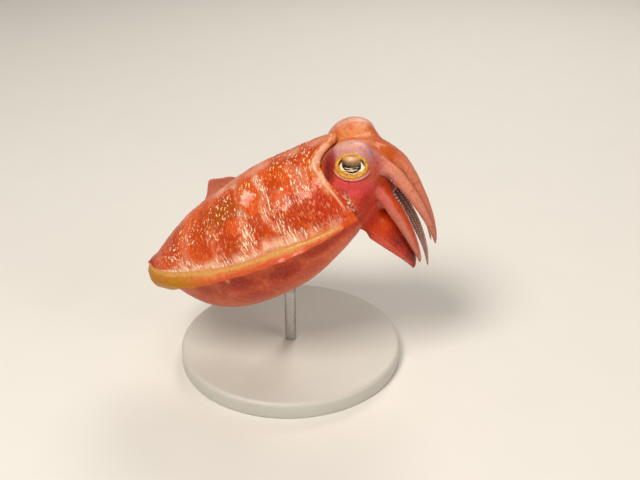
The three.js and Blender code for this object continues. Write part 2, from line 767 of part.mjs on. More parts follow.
// The stand: a round base, and a rod with a seat cut to the belly
function makeStand(bodyMatrix) {
  const stand = new THREE.Group();
  const baseProfile = [
    [0, 0],
    [BASE_RADIUS, 0],
    [BASE_RADIUS, BASE_HEIGHT - BASE_EDGE],
    [BASE_RADIUS - BASE_EDGE_ROUNDING * BASE_EDGE, BASE_HEIGHT - BASE_EDGE_ROUNDING * BASE_EDGE],
    [BASE_RADIUS - BASE_EDGE, BASE_HEIGHT],
    [0, BASE_HEIGHT],
  ].map(([r, y]) => new THREE.Vector2(r, y));
  const base = new THREE.LatheGeometry(baseProfile, BASE_SIDES);
  base.rotateX(Math.PI / 2);
  const paint = new THREE.MeshStandardMaterial({ color: 0xb9b7b2, roughness: 0.5, metalness: 0 });
  stand.add(meshOf("stand_base", solidOf(base), paint));

  const rodProfile = [
    [0, BASE_HEIGHT + GAP],
    [ROD_RADIUS, BASE_HEIGHT + GAP],
    [ROD_RADIUS, ROD_TOP - 2 * SEAT_HEIGHT],
    [SEAT_RADIUS, ROD_TOP - SEAT_HEIGHT],
    [SEAT_RADIUS, ROD_TOP],
    [0, ROD_TOP],
  ].map(([r, y]) => new THREE.Vector2(r, y));
  const rod = new THREE.LatheGeometry(rodProfile, ROD_SIDES);
  rod.rotateX(Math.PI / 2);
  const belly = geometryOf(mantleSolid(GAP)).applyMatrix4(bodyMatrix);
  const steel = new THREE.MeshStandardMaterial({ color: 0xc8ccd0, roughness: 0.3, metalness: 1 });
  stand.add(meshOf("stand_rod", largest(solidOf(rod).subtract(solidOf(belly))), steel));
  return stand;
}

const group = new THREE.Group();
const animal = makeAnimal();
const placed = placeBody(animal);
group.add(placed);
group.add(makeStand(animal.matrixWorld));

export default group;
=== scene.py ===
import math

import bmesh
import bpy
import numpy as np
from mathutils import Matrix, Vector
from mathutils.bvhtree import BVHTree
from mathutils.kdtree import KDTree


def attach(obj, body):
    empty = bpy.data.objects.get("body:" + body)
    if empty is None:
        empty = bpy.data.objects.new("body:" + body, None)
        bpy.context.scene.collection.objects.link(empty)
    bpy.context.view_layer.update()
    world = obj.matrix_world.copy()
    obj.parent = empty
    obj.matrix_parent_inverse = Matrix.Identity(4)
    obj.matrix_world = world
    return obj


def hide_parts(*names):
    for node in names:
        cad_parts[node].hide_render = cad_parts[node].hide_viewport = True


MM = 0.001

# Pose and place of the body
MANTLE_LENGTH = 80.0
NOSE_UP_DEG = 26.5
YAW_DEG = -3.0
TAIL_TIP = (-49.0, -3.0, 38.5)

# Camera: a 50 mm lens on a 36 mm sensor, looking down by this angle from this place
CAMERA_PLACE = (10.738, -275.880, 186.949)
CAMERA_DOWN_DEG = 27.0
CAMERA_LENS = 50.0
CAMERA_SENSOR = 36.0

# Mantle. Each row: share of the length, half width, heights of back, fin line and belly over the length
MANTLE_ROWS = [
    (0.0, 0.0, 0.01, 0.004, -0.002),
    (0.015, 0.016, 0.016, 0.004, -0.014),
    (0.04, 0.06, 0.02, -0.002, -0.055),
    (0.1, 0.125, 0.053, -0.014, -0.176),
    (0.25, 0.215, 0.12, -0.033, -0.323),
    (0.45, 0.285, 0.166, -0.056, -0.35),
    (0.65, 0.3, 0.196, -0.062, -0.33),
    (0.85, 0.28, 0.198, -0.08, -0.246),
    (1.0, 0.24, 0.19, -0.08, -0.16),
]

# The mantle's front edge: height round the body in degrees (90 is the back), and its share of the length
MANTLE_EDGE = [
    (-90, 0.875),
    (-60, 0.9),
    (-35, 0.955),
    (-15, 0.965),
    (20, 0.95),
    (45, 0.915),
    (60, 0.905),
    (72, 0.94),
    (82, 0.985),
    (90, 0.995),
]
TAIL_POINT = (0.0, 0.0, 0.4)
COLLAR_WALL = 1.3
COLLAR_DEPTH = 6.0

# Fins. Each row: share of the mantle, width, angle over the horizontal in degrees, sweep back of the edge
FIN_ROWS = {
    -1: [
        (0.012, 2.8, -26, 1.0),
        (0.05, 5.0, -26, 1.4),
        (0.14, 6.1, -24, 1.3),
        (0.24, 5.9, -32, 0.6),
        (0.33, 4.6, -40, 0),
        (0.42, 3.9, -30, 0),
        (0.55, 4.3, -22, 0),
        (0.68, 3.7, -34, 0),
        (0.8, 2.3, -24, 0),
        (0.87, 1.6, -24, 0),
        (0.91, 1.0, -24, 0),
    ],
    1: [
        (0.012, 3.6, -8, 1.4),
        (0.05, 6.8, -6, 1.8),
        (0.14, 8.6, 0, 1.6),
        (0.22, 9.6, 16, 0.8),
        (0.29, 12.2, 48, 1.8),
        (0.34, 16.2, 60, 1.8),
        (0.42, 14.2, 60, 1.4),
        (0.52, 8.6, 44, 0),
        (0.62, 6.0, 4, 0),
        (0.72, 4.8, -14, 0),
        (0.81, 4.2, -4, 0),
        (0.87, 2.8, -6, 0),
        (0.91, 1.2, -6, 0),
    ],
}
FIN_CURL = 0.45
FIN_ROOT_THICKNESS = 1.2
FIN_EDGE_THICKNESS = 0.34

# From this width in millimetres a fin has its whole thickness
FIN_WHOLE_WIDTH = 1.2
FIN_RIPPLE = 0.22

# Head. Each row: distance forward, height, half width and half height
HEAD_ROWS = [
    (66.5, -1.0, 15.2, 12.2),
    (70.5, -1.1, 17.0, 13.8),
    (74.5, -1.4, 18.2, 14.6),
    (79.8, -3.0, 17.8, 14.8),
    (84.0, -5.8, 13.0, 13.2),
    (86.4, -8.4, 8.2, 9.6),
    (87.8, -10.6, 4.2, 5.0),
]
HEAD_TIP = (88.3, 0.0, -11.5)
BULGE_CENTRE = (81.9, 11.0, 7.0)
BULGE_RADII = (9.0, 8.4, 8.0)
BULGE_BLEND = 1.1

# Eyes: half width and half height of the gold ring, the ball's radii and depth, and how far they look up
EYE_UP_DEG = 20.0
EYE_FORWARD = 1.5
EYE_DEPTH = 4.0
EYE_RADII = (5.7, 5.2, 4.2)
EYE_RING = (5.0, 3.92)

# Funnel under the head
FUNNEL_START = (71.0, -12.0)
FUNNEL_END = (81.5, -19.4)
FUNNEL_RADII = (4.6, 2.4)
FUNNEL_WALL = 0.8
FUNNEL_BORE_DEPTH = 4.0

# Arms: side, four control points (forward, out, up), half width across and through, fullness and keel
ARMS = [
    (-1, [(90.9, 3.1, 5.0), (97.6, 4.2, 1.9), (98.1, 3.5, -21.4), (94.4, 2.1, -32.4)],
     (3.3, 2.7), 1.5, 0.0),
    (-1, [(87.7, 9.4, 5.1), (94.5, 10.8, 5.0), (97.3, 9.1, -21.8), (94.1, 4.2, -32.3)],
     (2.7, 2.8), 1.5, 0.0),
    (-1, [(81.4, 7.4, -2.6), (88.4, 10.8, 4.2), (89.8, 9.8, -27.6), (86.7, 4.9, -36.2)],
     (3.1, 4.4), 2.0, 0.0),
    (-1, [(78.4, 7.0, -6.8), (81.2, 8.7, -16.1), (88.0, 5.9, -27.4), (83.6, 2.8, -38.4)],
     (3.0, 4.4), 3.0, 2.8),
    (1, [(90.1, 3.1, 4.1), (96.5, 4.2, 1.3), (97.8, 3.5, -21.2), (93.3, 1.9, -33.7)],
     (3.3, 2.7), 1.5, 0.0),
    (1, [(87.2, 9.4, 4.9), (91.9, 10.1, 2.1), (97.0, 8.4, -17.6), (92.0, 4.2, -34.6)],
     (2.7, 2.8), 1.5, 0.0),
    (1, [(82.3, 10.8, -1.4), (85.7, 11.5, -5.5), (93.1, 7.0, -27.9), (87.1, 3.9, -43.0)],
     (2.9, 3.1), 2.0, 0.0),
    (1, [(78.2, 7.0, -7.0), (78.9, 8.4, -15.6), (86.4, 5.9, -28.0), (82.3, 3.1, -38.6)],
     (3.0, 4.4), 3.0, 2.8),
]
CROWN_AXIS = [(82.4, 0.0, -3.5), (91.5, 0.0, -5.6), (91.5, 0.0, -24.5), (88.0, 0.0, -39.1)]
ARM_TIP_SHARE = 0.09
ROOT_FLARES = (0.4, 0.4, 0.0, 0.4)
ROOT_FLARE_END = 0.45

# An arm starts this share of its length, and this many millimetres, inside the head
ROOT_SHARE = 0.16
ROOT_SUNK = 5.0
ORAL_FLATNESS = 0.72
VENTRAL_SWELL = 0.5
KEEL_RISE = 0.3
KEEL_PINCH = 0.5

# Stand
BASE_RADIUS = 40.0
BASE_HEIGHT = 6.0
BASE_EDGE = 1.5
BASE_FOOT = [(39.4, 0.0), (39.85, 0.15), (40.0, 0.6)]
BASE_TOP_RADII = (30.0, 15.0, 5.0)

# Suckers: rows as shares of the arm's half width, first and last place as shares of its length, radius and
# spacing as shares of the half width and of the radius, and their least values
SUCKER_ROWS = (-0.62, -0.22, 0.22, 0.62)
SUCKER_SPAN = (0.12, 0.985)
SUCKER_RADIUS = 0.21
SUCKER_LEAST_RADIUS = 0.16
SUCKER_SPACING = 1.15
SUCKER_LEAST_SPACING = 0.2

# A sucker's section: shares of its radius out from its middle and up from the skin
SUCKER_PROFILE = [
    (0.45, -0.5),
    (0.5, 0.2),
    (0.85, 0.55),
    (1.0, 0.85),
    (0.92, 1.05),
    (0.72, 1.08),
    (0.5, 0.85),
    (0.2, 0.7),
]
SUCKER_SIDES = 10

# Lamps: name, place and diameter in metres, and power
LAMPS = [
    ("key", (-0.3, -0.45, 0.75), 0.35, 7.3),
    ("fill", (0.7, -0.5, 0.35), 0.5, 2.5),
    ("back", (0.2, 0.6, 0.6), 0.4, 2.6),
]
LAMP_COLOUR = (1.0, 0.95, 0.86)
LAMP_AIM = (0, 0, 0.05)
WORLD_COLOUR = (0.86, 0.82, 0.76, 1)
WORLD_STRENGTH = 0.3
FLOOR_HALF = 6

# Numbers used in many places
SEED = 7
VOXEL = 0.28
WELD_REACH = 0.002
SCRAP_POINTS = 50


def smooth(rows, x):
    """Values of the rows' smooth curve at the places x. It never overshoots between two rows."""
    table = np.asarray(rows, float)
    places = table[:, 0]
    values = table[:, 1:]
    width = np.diff(places)[:, None]
    slope = np.diff(values, axis=0) / width
    tangent = np.zeros_like(values)
    tangent[0] = slope[0]
    tangent[-1] = slope[-1]
    before, after = slope[:-1], slope[1:]
    mean = (before * width[1:] + after * width[:-1]) / (width[:-1] + width[1:])
    most = 3 * np.minimum(abs(before), abs(after))
    inner = np.sign(mean) * np.minimum(abs(mean), most)
    tangent[1:-1] = np.where(before * after <= 0, 0, inner)
    x = np.atleast_1d(np.asarray(x, float))
    i = np.clip(np.searchsorted(places, x, side="left") - 1, 0, len(places) - 2)
    h = width[i]
    u = np.clip((x - places[i])[:, None] / h, 0, 1)
    low = (2 * u**3 - 3 * u**2 + 1) * values[i] + (u**3 - 2 * u**2 + u) * h * tangent[i]
    high = (3 * u**2 - 2 * u**3) * values[i + 1] + (u**3 - u**2) * h * tangent[i + 1]
    return low + high


def step(low, high, x):
    """A smooth step from 0 at low to 1 at high"""
    u = np.clip((np.asarray(x, float) - low) / (high - low), 0, 1)
    return u * u * (3 - 2 * u)


def bell(x, middle, width):
    """A smooth bump of height 1 round middle"""
    return np.exp(-(((np.asarray(x, float) - middle) / width) ** 2))


def to_row(points):
    """Body frame in millimetres to the row's frame in metres"""
    x, y, z = np.moveaxis(np.asarray(points, float), -1, 0)
    pitch, yaw = math.radians(NOSE_UP_DEG), math.radians(YAW_DEG)
    forward = x * math.cos(pitch) - z * math.sin(pitch)
    up = x * math.sin(pitch) + z * math.cos(pitch)
    turned = [
        forward * math.cos(yaw) - y * math.sin(yaw) + TAIL_TIP[0],
        forward * math.sin(yaw) + y * math.cos(yaw) + TAIL_TIP[1],
        up + TAIL_TIP[2],
    ]
    return np.stack(turned, -1) * MM


def lattice_noise(points, size, seed):
    """Smooth noise from -1 to 1 whose lumps are about size millimetres apart"""
    count = 32
    table = np.random.default_rng(seed).uniform(-1, 1, (count, count, count))
    at = np.asarray(points, float) / size
    cell = np.floor(at).astype(int)
    part = at - cell
    part = part * part * (3 - 2 * part)
    total = np.zeros(at.shape[:-1])
    for corner in np.ndindex(2, 2, 2):
        index = (cell + corner) % count
        weight = np.prod(np.where(corner, part, 1 - part), axis=-1)
        total += weight * table[index[..., 0], index[..., 1], index[..., 2]]
    return total


def linear(hex_colour):
    """The linear colour of a six-figure sRGB one"""
    parts = np.array([int(hex_colour[k : k + 2], 16) for k in (0, 2, 4)]) / 255
    return np.where(parts <= 0.04045, parts / 12.92, ((parts + 0.055) / 1.055) ** 2.4)


def mix(colours, other, share):
    """Colours moved towards another one, or towards as many others, by a share for each"""
    share = np.clip(share, 0, 1)[..., None]
    return colours * (1 - share) + other * share


def plain(tone, count):
    """One tone for each of count points"""
    return np.tile(TONE[tone], (count, 1))


def lay(colours, *layers):
    """Colours with layers over them, each a tone's name, or as many colours, and its share"""
    for tone, share in layers:
        colours = mix(colours, TONE[tone] if isinstance(tone, str) else tone, share)
    return colours


def circle(count):
    """Angles spread evenly round a circle"""
    return np.linspace(0, 2 * np.pi, count, endpoint=False)


def mesh_object(name, points, faces, smooth_shading=True):
    """A new object from points in the row's frame, in metres"""
    mesh = bpy.data.meshes.new(name)
    mesh.from_pydata([tuple(p) for p in points], [], [tuple(int(i) for i in f) for f in faces])
    mesh.validate()
    mesh.polygons.foreach_set("use_smooth", [smooth_shading] * len(mesh.polygons))
    piece = bpy.data.objects.new(name, mesh)
    bpy.context.scene.collection.objects.link(piece)
    return piece


def grid_faces(rows, columns):
    """Quads over rings of points, each ring joined from its last point to its first"""
    row = np.arange(rows - 1)[:, None] * columns
    here = np.arange(columns)[None, :]
    after = (here + 1) % columns
    quads = [row + here, row + after, row + columns + after, row + columns + here]
    return np.stack(quads, -1).reshape(-1, 4)


def set_attribute(mesh, name, values):
    """A value, a vector or a colour for each point of a mesh"""
    values = np.asarray(values, np.float32)
    if values.ndim == 1:
        mesh.attributes.new(name, "FLOAT", "POINT").data.foreach_set("value", values)
    elif name.endswith("tint"):
        full = np.concatenate([values, np.ones((len(values), 1), np.float32)], axis=1)
        mesh.attributes.new(name, "FLOAT_COLOR", "POINT").data.foreach_set("color", full.ravel())
    else:
        mesh.attributes.new(name, "FLOAT_VECTOR", "POINT").data.foreach_set("vector", values.ravel())


def loft_mesh(rings, start, end):
    """Points and faces of a closed body over rings, with a fan to one point at each end"""
    rows, columns = rings.shape[:2]
    points = np.concatenate([rings.reshape(-1, 3), [start], [end]])
    around = np.arange(columns)
    after = (around + 1) % columns
    last = (rows - 1) * columns
    faces = grid_faces(rows, columns).tolist()
    faces += np.stack([np.full(columns, rows * columns), after, around], -1).tolist()
    faces += np.stack([np.full(columns, rows * columns + 1), last + around, last + after], -1).tolist()
    return points, faces


def mesh_points(mesh):
    """A mesh's points as an array"""
    flat = np.empty(len(mesh.vertices) * 3, np.float32)
    mesh.vertices.foreach_get("co", flat)
    return flat.reshape(-1, 3).astype(float)


def set_points(mesh, points):
    """Moves a mesh's points"""
    mesh.vertices.foreach_set("co", points.astype(np.float32).ravel())
    mesh.update()


def normals_of(mesh):
    """The points' normals as an array"""
    flat = np.empty(len(mesh.vertices) * 3, np.float32)
    mesh.vertex_normals.foreach_get("vector", flat)
    return flat.reshape(-1, 3).astype(float)


def neighbours(mesh):
    """The two ends of every edge"""
    ends = np.empty(len(mesh.edges) * 2, np.int32)
    mesh.edges.foreach_get("vertices", ends)
    return ends.reshape(-1, 2)


def neighbour_mean(points, ends):
    """Each point's average neighbour"""
    degree = np.bincount(ends.ravel(), minlength=len(points)).clip(1)[:, None]
    total = np.zeros_like(points)
    for axis in range(points.shape[1]):
        total[:, axis] = np.bincount(ends[:, 0], points[ends[:, 1], axis], len(points))
        total[:, axis] += np.bincount(ends[:, 1], points[ends[:, 0], axis], len(points))
    return total / degree


def relax(points, ends, rounds):
    """Points moved towards their neighbours' average, then back as far, which smooths without shrinking"""
    for _ in range(rounds):
        for share in (0.5, -0.53):
            points = points + share * (neighbour_mean(points, ends) - points)
    return points


def hollow(points, ends, normals, rounds):
    """How deep each point lies under its smoothed surroundings, in millimetres"""
    even = points
    for _ in range(rounds):
        even = 0.5 * even + 0.5 * neighbour_mean(even, ends)
    return ((even - points) * normals).sum(1)


def weld(mesh):
    """Joins points that coincide, as along a fin's edge and where a fin has run out, and drops tiny scraps"""
    work = bmesh.new()
    work.from_mesh(mesh)
    bmesh.ops.remove_doubles(work, verts=work.verts, dist=WELD_REACH * MM)
    bmesh.ops.dissolve_degenerate(work, edges=work.edges, dist=WELD_REACH * MM)
    scraps = []
    left = set(work.verts)
    while left:
        part = [left.pop()]
        for vert in part:
            found = {edge.other_vert(vert) for edge in vert.link_edges} & left
            left -= found
            part.extend(found)
        if len(part) < SCRAP_POINTS:
            scraps += part
    bmesh.ops.delete(work, geom=scraps, context="VERTS")
    work.to_mesh(mesh)
    work.free()
    mesh.update()


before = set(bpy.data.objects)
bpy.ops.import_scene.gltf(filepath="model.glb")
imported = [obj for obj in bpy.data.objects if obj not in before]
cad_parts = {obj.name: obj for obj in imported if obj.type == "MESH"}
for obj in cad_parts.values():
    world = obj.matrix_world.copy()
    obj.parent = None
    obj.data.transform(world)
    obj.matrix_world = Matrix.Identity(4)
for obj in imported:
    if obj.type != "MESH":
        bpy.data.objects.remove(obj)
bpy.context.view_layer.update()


def make_camera():
    """The photograph's view: level, looking down along +Y"""
    data = bpy.data.cameras.new("camera")
    data.lens = CAMERA_LENS
    data.sensor_width = CAMERA_SENSOR
    data.clip_start = 0.01
    camera = bpy.data.objects.new("camera", data)
    camera.location = Vector(CAMERA_PLACE) * MM
    camera.rotation_euler = (math.radians(90 - CAMERA_DOWN_DEG), 0, 0)
    bpy.context.scene.collection.objects.link(camera)
    bpy.context.scene.camera = camera


# Body: one closed surface of the mantle, its collar and both fins
MANTLE_STATION_COUNT = 250
BACK_POINTS = 150
BELLY_POINTS = 52
FIN_POINTS = 30
FILLET_POINTS = 5.0
FILLET_ROUNDS = 24
LIP_STEPS = 8
COLLAR_STEPS = 8
COLLAR_ROOM = 0.2
COLLAR_REACH = 7.0
LIP_FORWARD = 0.65


def mantle_point(share, angle, scale=1.0):
    """Point of the mantle's skin at a share of the length and an angle round the body"""
    half, back, level, belly = (smooth(MANTLE_ROWS, share.ravel()) * MANTLE_LENGTH).T
    angle = angle.ravel()
    rise = np.where(np.sin(angle) > 0, back - level, level - belly) * scale
    point = [share.ravel() * MANTLE_LENGTH, half * scale * np.cos(angle), level + rise * np.sin(angle)]
    return np.stack(point, -1).reshape(*share.shape, 3)


def edge_share(angle):
    """Share of the length at which the mantle's front edge lies, at an angle round the body"""
    height = np.degrees(np.arcsin(np.clip(np.sin(angle), -1, 1)))
    return smooth(MANTLE_EDGE, height.ravel())[:, 0].reshape(angle.shape)


def fin_path(side, share):
    """Middle lines of a fin from its root to its edge, the directions across it, and its width"""
    rows = FIN_ROWS[side]
    width, angle_deg, sweep = smooth(rows, share).T
    start, end = rows[0][0], rows[-1][0]
    fade = step(start - 0.006, start + 0.004, share) * (1 - step(end - 0.004, end + 0.012, share))
    width = width * fade
    half, _, level, _ = (smooth(MANTLE_ROWS, share) * MANTLE_LENGTH).T
    out = np.linspace(0, 1, FIN_POINTS)
    angle = np.radians(angle_deg)[:, None] * (1 - FIN_CURL + 2 * FIN_CURL * out)
    length = width[:, None] / (FIN_POINTS - 1)
    zero = np.zeros((len(share), 1))
    across = np.concatenate([zero, np.cumsum(np.cos(angle[:, 1:]) * length, 1)], 1)
    rise = np.concatenate([zero, np.cumsum(np.sin(angle[:, 1:]) * length, 1)], 1)
    wave = FIN_RIPPLE * out**2 * np.minimum(width, 6)[:, None] / 6
    ripple = wave * np.sin(share * MANTLE_LENGTH * 0.95 + side)[:, None]
    x = (share * MANTLE_LENGTH)[:, None] - sweep[:, None] * out * fade[:, None]
    y = side * (half[:, None] + across)
    z = level[:, None] + rise + ripple
    normal = np.stack([np.zeros_like(angle), -side * np.sin(angle), np.cos(angle)], -1)
    return np.stack([x, y, z], -1), normal, width, out


def body_surface():
    """Rings of the mantle and fins, then the collar's rolled lip and its inner side"""
    u = np.linspace(0, 1, MANTLE_STATION_COUNT + 1)[1:]
    station = 0.55 * u + 0.45 * (0.5 - 0.5 * np.cos(np.pi * u))
    _, back, level, belly = (smooth(MANTLE_ROWS, station) * MANTLE_LENGTH).T
    fin_share = station * edge_share(np.array([0.0]))[0]
    fins = {side: fin_path(side, fin_share) for side in (1, -1)}
    thick = 0.5 * FIN_ROOT_THICKNESS

    def rim(side, above):
        """Angle from the fin line at which the mantle meets the fin's upper or lower face"""
        present = step(0, FIN_WHOLE_WIDTH, fins[side][2])
        reach = (back - level) if above else (level - belly)
        return np.arcsin(np.clip(thick * present / np.maximum(reach, thick), 0, 1))

    def arc(low, high, count):
        """Angles from low to high for each station, evenly spaced"""
        return low[:, None] + (high - low)[:, None] * np.linspace(0, 1, count)

    flat = np.zeros(len(station))
    parts = []
    tags = []

    def add_mantle(angles):
        """A stretch of the mantle between two angles round the body"""
        share = station[:, None] * edge_share(angles)
        parts.append(mantle_point(share, angles))
        zero = np.zeros_like(angles)
        tags.append(np.stack([share * MANTLE_LENGTH, angles, zero, zero], -1))

    def add_fin(side, above, outwards):
        """One face of a fin, from its root to its edge or back"""
        path, normal, width, out = fins[side]
        thickness = FIN_EDGE_THICKNESS + (FIN_ROOT_THICKNESS - FIN_EDGE_THICKNESS) * (1 - out) ** 1.6
        rounded = np.sqrt(np.clip(1 - ((out - 0.97) / 0.03).clip(0) ** 2, 0, 1))
        fullness = step(0, FIN_WHOLE_WIDTH, width)[:, None] * (thickness * rounded)[None, :]
        sign = 1 if above else -1
        points = path + normal * (0.5 * sign * fullness)[..., None]
        spread = np.broadcast_to(out, fullness.shape)
        root = np.full_like(fullness, 0.0 if side == 1 else math.pi)
        along = path[..., 0]
        tag = np.stack([along, root, spread * np.ones_like(along), width[:, None] * spread], -1)
        if not outwards:
            points, tag = points[:, ::-1], tag[:, ::-1]
        parts.append(points)
        tags.append(tag)

    add_mantle(arc(flat - math.pi / 2, -rim(1, False), BELLY_POINTS))
    add_fin(1, False, True)
    add_fin(1, True, False)
    add_mantle(arc(rim(1, True), math.pi - rim(-1, True), BACK_POINTS))
    add_fin(-1, True, True)
    add_fin(-1, False, False)
    add_mantle(arc(math.pi + rim(-1, False), flat + 1.5 * math.pi, BELLY_POINTS)[:, :-1])
    points = np.concatenate(parts, 1)
    tags = np.concatenate(tags, 1)

    # Fillet where the fins leave the mantle, by averaging along the ring near the roots
    columns = points.shape[1]
    joins = [BELLY_POINTS, BELLY_POINTS + 2 * FIN_POINTS]
    joins += [joins[1] + BACK_POINTS, joins[1] + BACK_POINTS + 2 * FIN_POINTS]
    index = np.arange(columns)
    near = np.max([bell(index, j - 0.5, FILLET_POINTS) for j in joins], axis=0)[None, :, None]
    for _ in range(FILLET_ROUNDS):
        average = 0.5 * (np.roll(points, 1, 1) + np.roll(points, -1, 1))
        points = points + 0.5 * near * (average - points)
    return points, tags


def collar_rings(ring, tags, head):
    """The mantle's rolled front edge, which lies close on the head above, and the inside of the collar"""
    angles = tags[:, 1]
    share = edge_share(angles)
    half = smooth(MANTLE_ROWS, [1.0])[0, 0] * MANTLE_LENGTH
    inner_scale = 1 - COLLAR_WALL / half
    inner = mantle_point(share, angles, inner_scale)
    for i, (place, height) in enumerate(zip(ring, np.sin(angles))):
        found = Vector(head.find_nearest(Vector(place))[0])
        away = place - np.array(found)
        room = np.linalg.norm(away)
        if COLLAR_WALL + COLLAR_ROOM < room < COLLAR_REACH:
            close = np.array(found) + away / room * COLLAR_ROOM
            inner[i] += (close - inner[i]) * step(-0.25, 0.1, height)
    inner = (np.roll(inner, 1, 0) + inner + np.roll(inner, -1, 0)) / 3
    middle = (ring + inner) / 2
    radial = (ring - inner) / 2
    forward = np.zeros_like(ring)
    forward[:, 0] = np.minimum(np.linalg.norm(radial, axis=1), LIP_FORWARD)
    rings = []
    for k in range(1, LIP_STEPS + 1):
        turn = math.pi * k / LIP_STEPS
        rings.append(middle + radial * math.cos(turn) + forward * math.sin(turn))
    deep = inner + (mantle_point(share, angles, inner_scale * 0.93) - inner) * 0.3
    deep[:, 0] -= COLLAR_DEPTH
    for k in range(1, COLLAR_STEPS + 1):
        rings.append(inner + (deep - inner) * (k / COLLAR_STEPS))
    return np.array(rings)


def make_body(head):
    """Points, faces, tags and areas of the body's skin, given the head that its collar lies on"""
    points, tags = body_surface()
    rings = collar_rings(points[-1], tags[-1], head)
    points = np.concatenate([points, rings])
    tags = np.concatenate([tags, np.repeat(tags[-1:], len(rings), 0)])
    inside = np.zeros(points.shape[:2])
    inside[-len(rings) + LIP_STEPS // 2 :] = 1
    points, faces = loft_mesh(points, np.array(TAIL_POINT), points[-1].mean(0))
    tags = np.concatenate([tags.reshape(-1, 4), [[0, math.pi / 2, 0, 0]], [tags[-1, 0]]])
    inside = np.concatenate([inside.ravel(), [0, 1]])
    return points, faces, tags, inside


# Head, arms and funnel: closed forms joined into one skin
def eye_axes(side):
    """Centre of an eye's bulge, and the directions along its face, up it and out of the head

    Its face is turned so that the pupil lies level in the row's frame.
    """
    tilt = math.radians(EYE_UP_DEG)
    look = np.array([0.0, side * math.cos(tilt), math.sin(tilt)])
    up = np.array([0.0, -side * math.sin(tilt), math.cos(tilt)])
    forward = np.array([1.0, 0.0, 0.0])
    turn = math.radians(NOSE_UP_DEG)
    level = forward * math.cos(turn) - up * math.sin(turn)
    upright = forward * math.sin(turn) + up * math.cos(turn)
    x, y, z = BULGE_CENTRE
    return np.array([x + EYE_FORWARD, side * y, z]), level, upright, look


def head_distance(beyond, points):
    """Distance over the head's skin: the plain ring and both eye bulges, blended"""
    x, y, z = BULGE_CENTRE
    distances = [beyond]
    for side in (1, -1):
        offset = (points - np.array([x, side * y, z])) / np.array(BULGE_RADII)
        distances.append((np.linalg.norm(offset, axis=-1) - 1) * np.mean(BULGE_RADII))
    stack = np.stack(distances)
    nearest = stack.min(0)
    return nearest - BULGE_BLEND * np.log(np.exp((nearest - stack) / BULGE_BLEND).sum(0))


def head_rings(steps=130, sides=200):
    """Rings of the head along a middle line that bends down towards the arms"""
    rows = [(i, *row) for i, row in enumerate(HEAD_ROWS)]
    last = len(rows) - 1
    place = np.linspace(0, last, steps)
    x, z, half_width, half_height = smooth(rows, place).T
    before = smooth(rows, np.maximum(place - 0.3, 0))
    after = smooth(rows, np.minimum(place + 0.3, last))
    slope = np.arctan2(after[:, 1] - before[:, 1], after[:, 0] - before[:, 0])[:, None]
    angle = circle(sides)[None, :]
    direction = np.stack(
        [-np.sin(angle) * np.sin(slope), np.cos(angle) + 0 * slope, np.sin(angle) * np.cos(slope)], -1
    )
    plain = 1 / np.hypot(np.cos(angle) / half_width[:, None], np.sin(angle) / half_height[:, None])
    centre = np.stack([x, 0 * x, z], -1)[:, None, :]
    beyond = np.full(plain.shape, BULGE_RADII[0])
    found = np.zeros(plain.shape, bool)
    while beyond.max() > 0 and not found.all():
        found |= head_distance(beyond, centre + direction * (plain + beyond)[..., None]) <= 0
        beyond = np.where(found, beyond, np.maximum(beyond - 0.25, 0))
        found |= beyond <= 0
    outside = beyond + 0.25
    for _ in range(9):
        middle = (beyond + outside) / 2
        out = head_distance(middle, centre + direction * (plain + middle)[..., None]) > 0
        outside = np.where(out, middle, outside)
        beyond = np.where(out, beyond, middle)
    return centre + direction * (plain + beyond)[..., None]


def bezier(points, share):
    """Points of a four-point curve, and its directions"""
    a, b, c, d = (np.array(p, float) for p in points)
    t = share[:, None]
    place = (1 - t) ** 3 * a + 3 * t * (1 - t) ** 2 * b + 3 * t * t * (1 - t) * c + t**3 * d
    run = 3 * (1 - t) ** 2 * (b - a) + 6 * t * (1 - t) * (c - b) + 3 * t * t * (d - c)
    return place, run / np.linalg.norm(run, axis=1, keepdims=True)


def arm_frame(arm, share):
    """An arm's middle line, its cross-section directions and sizes at shares of its length"""
    side, path, half, fullness, keel_breadth = arm
    inside = np.minimum(share, 0)
    at = np.clip(share, 0, 1)
    centre, tangent = bezier([(x, side * out, z) for x, out, z in path], at)
    axis, _ = bezier(CROWN_AXIS, at)
    oral = axis - centre
    oral -= (oral * tangent).sum(1, keepdims=True) * tangent
    oral /= np.linalg.norm(oral, axis=1, keepdims=True)
    across = np.cross(tangent, oral)
    taper = (1 - at**fullness) * (1 - ARM_TIP_SHARE) + ARM_TIP_SHARE
    flare = 1 + ROOT_FLARES[ARMS.index(arm) % 4] * np.maximum(1 - at / ROOT_FLARE_END, 0) ** 2
    keel = keel_breadth * taper * step(0, KEEL_RISE, at)
    sunk = inside / ROOT_SHARE
    centre = centre + tangent * sunk[:, None] * ROOT_SUNK
    shrink = np.sqrt(1 - 0.85 * sunk**2)
    half_width = half[0] * taper * flare * shrink
    half_height = half[1] * taper * flare * shrink
    return centre, tangent, oral, across, half_width, half_height, keel


def oral_flatness(arm, share):
    """Height of an arm's flat side over its half height. The ventral arms swell up to their neighbours."""
    swell = VENTRAL_SWELL if arm[4] > 0 else 0.0
    return ORAL_FLATNESS + swell * step(0.75, 0.45, share)


def arm_rings(arm, share, sides=32):
    """Rings of an arm: round outside, flatter where the suckers are, drawn out into the keel"""
    centre, _, oral, across, half_width, half_height, keel = arm_frame(arm, share)
    angle = circle(sides)[None, :]
    sine = np.sin(angle)
    outward = np.maximum(-sine, 0)
    half_height, half_width, keel = half_height[:, None], half_width[:, None], keel[:, None]
    flatness = oral_flatness(arm, share)[:, None]
    height = np.where(sine > 0, flatness * half_height * sine, half_height * sine - keel * outward**2)
    pinch = 1 - KEEL_PINCH * keel * outward / (keel + half_height)
    spread = half_width * pinch * np.cos(angle)
    return centre[:, None] + across[:, None] * spread[..., None] + oral[:, None] * height[..., None]


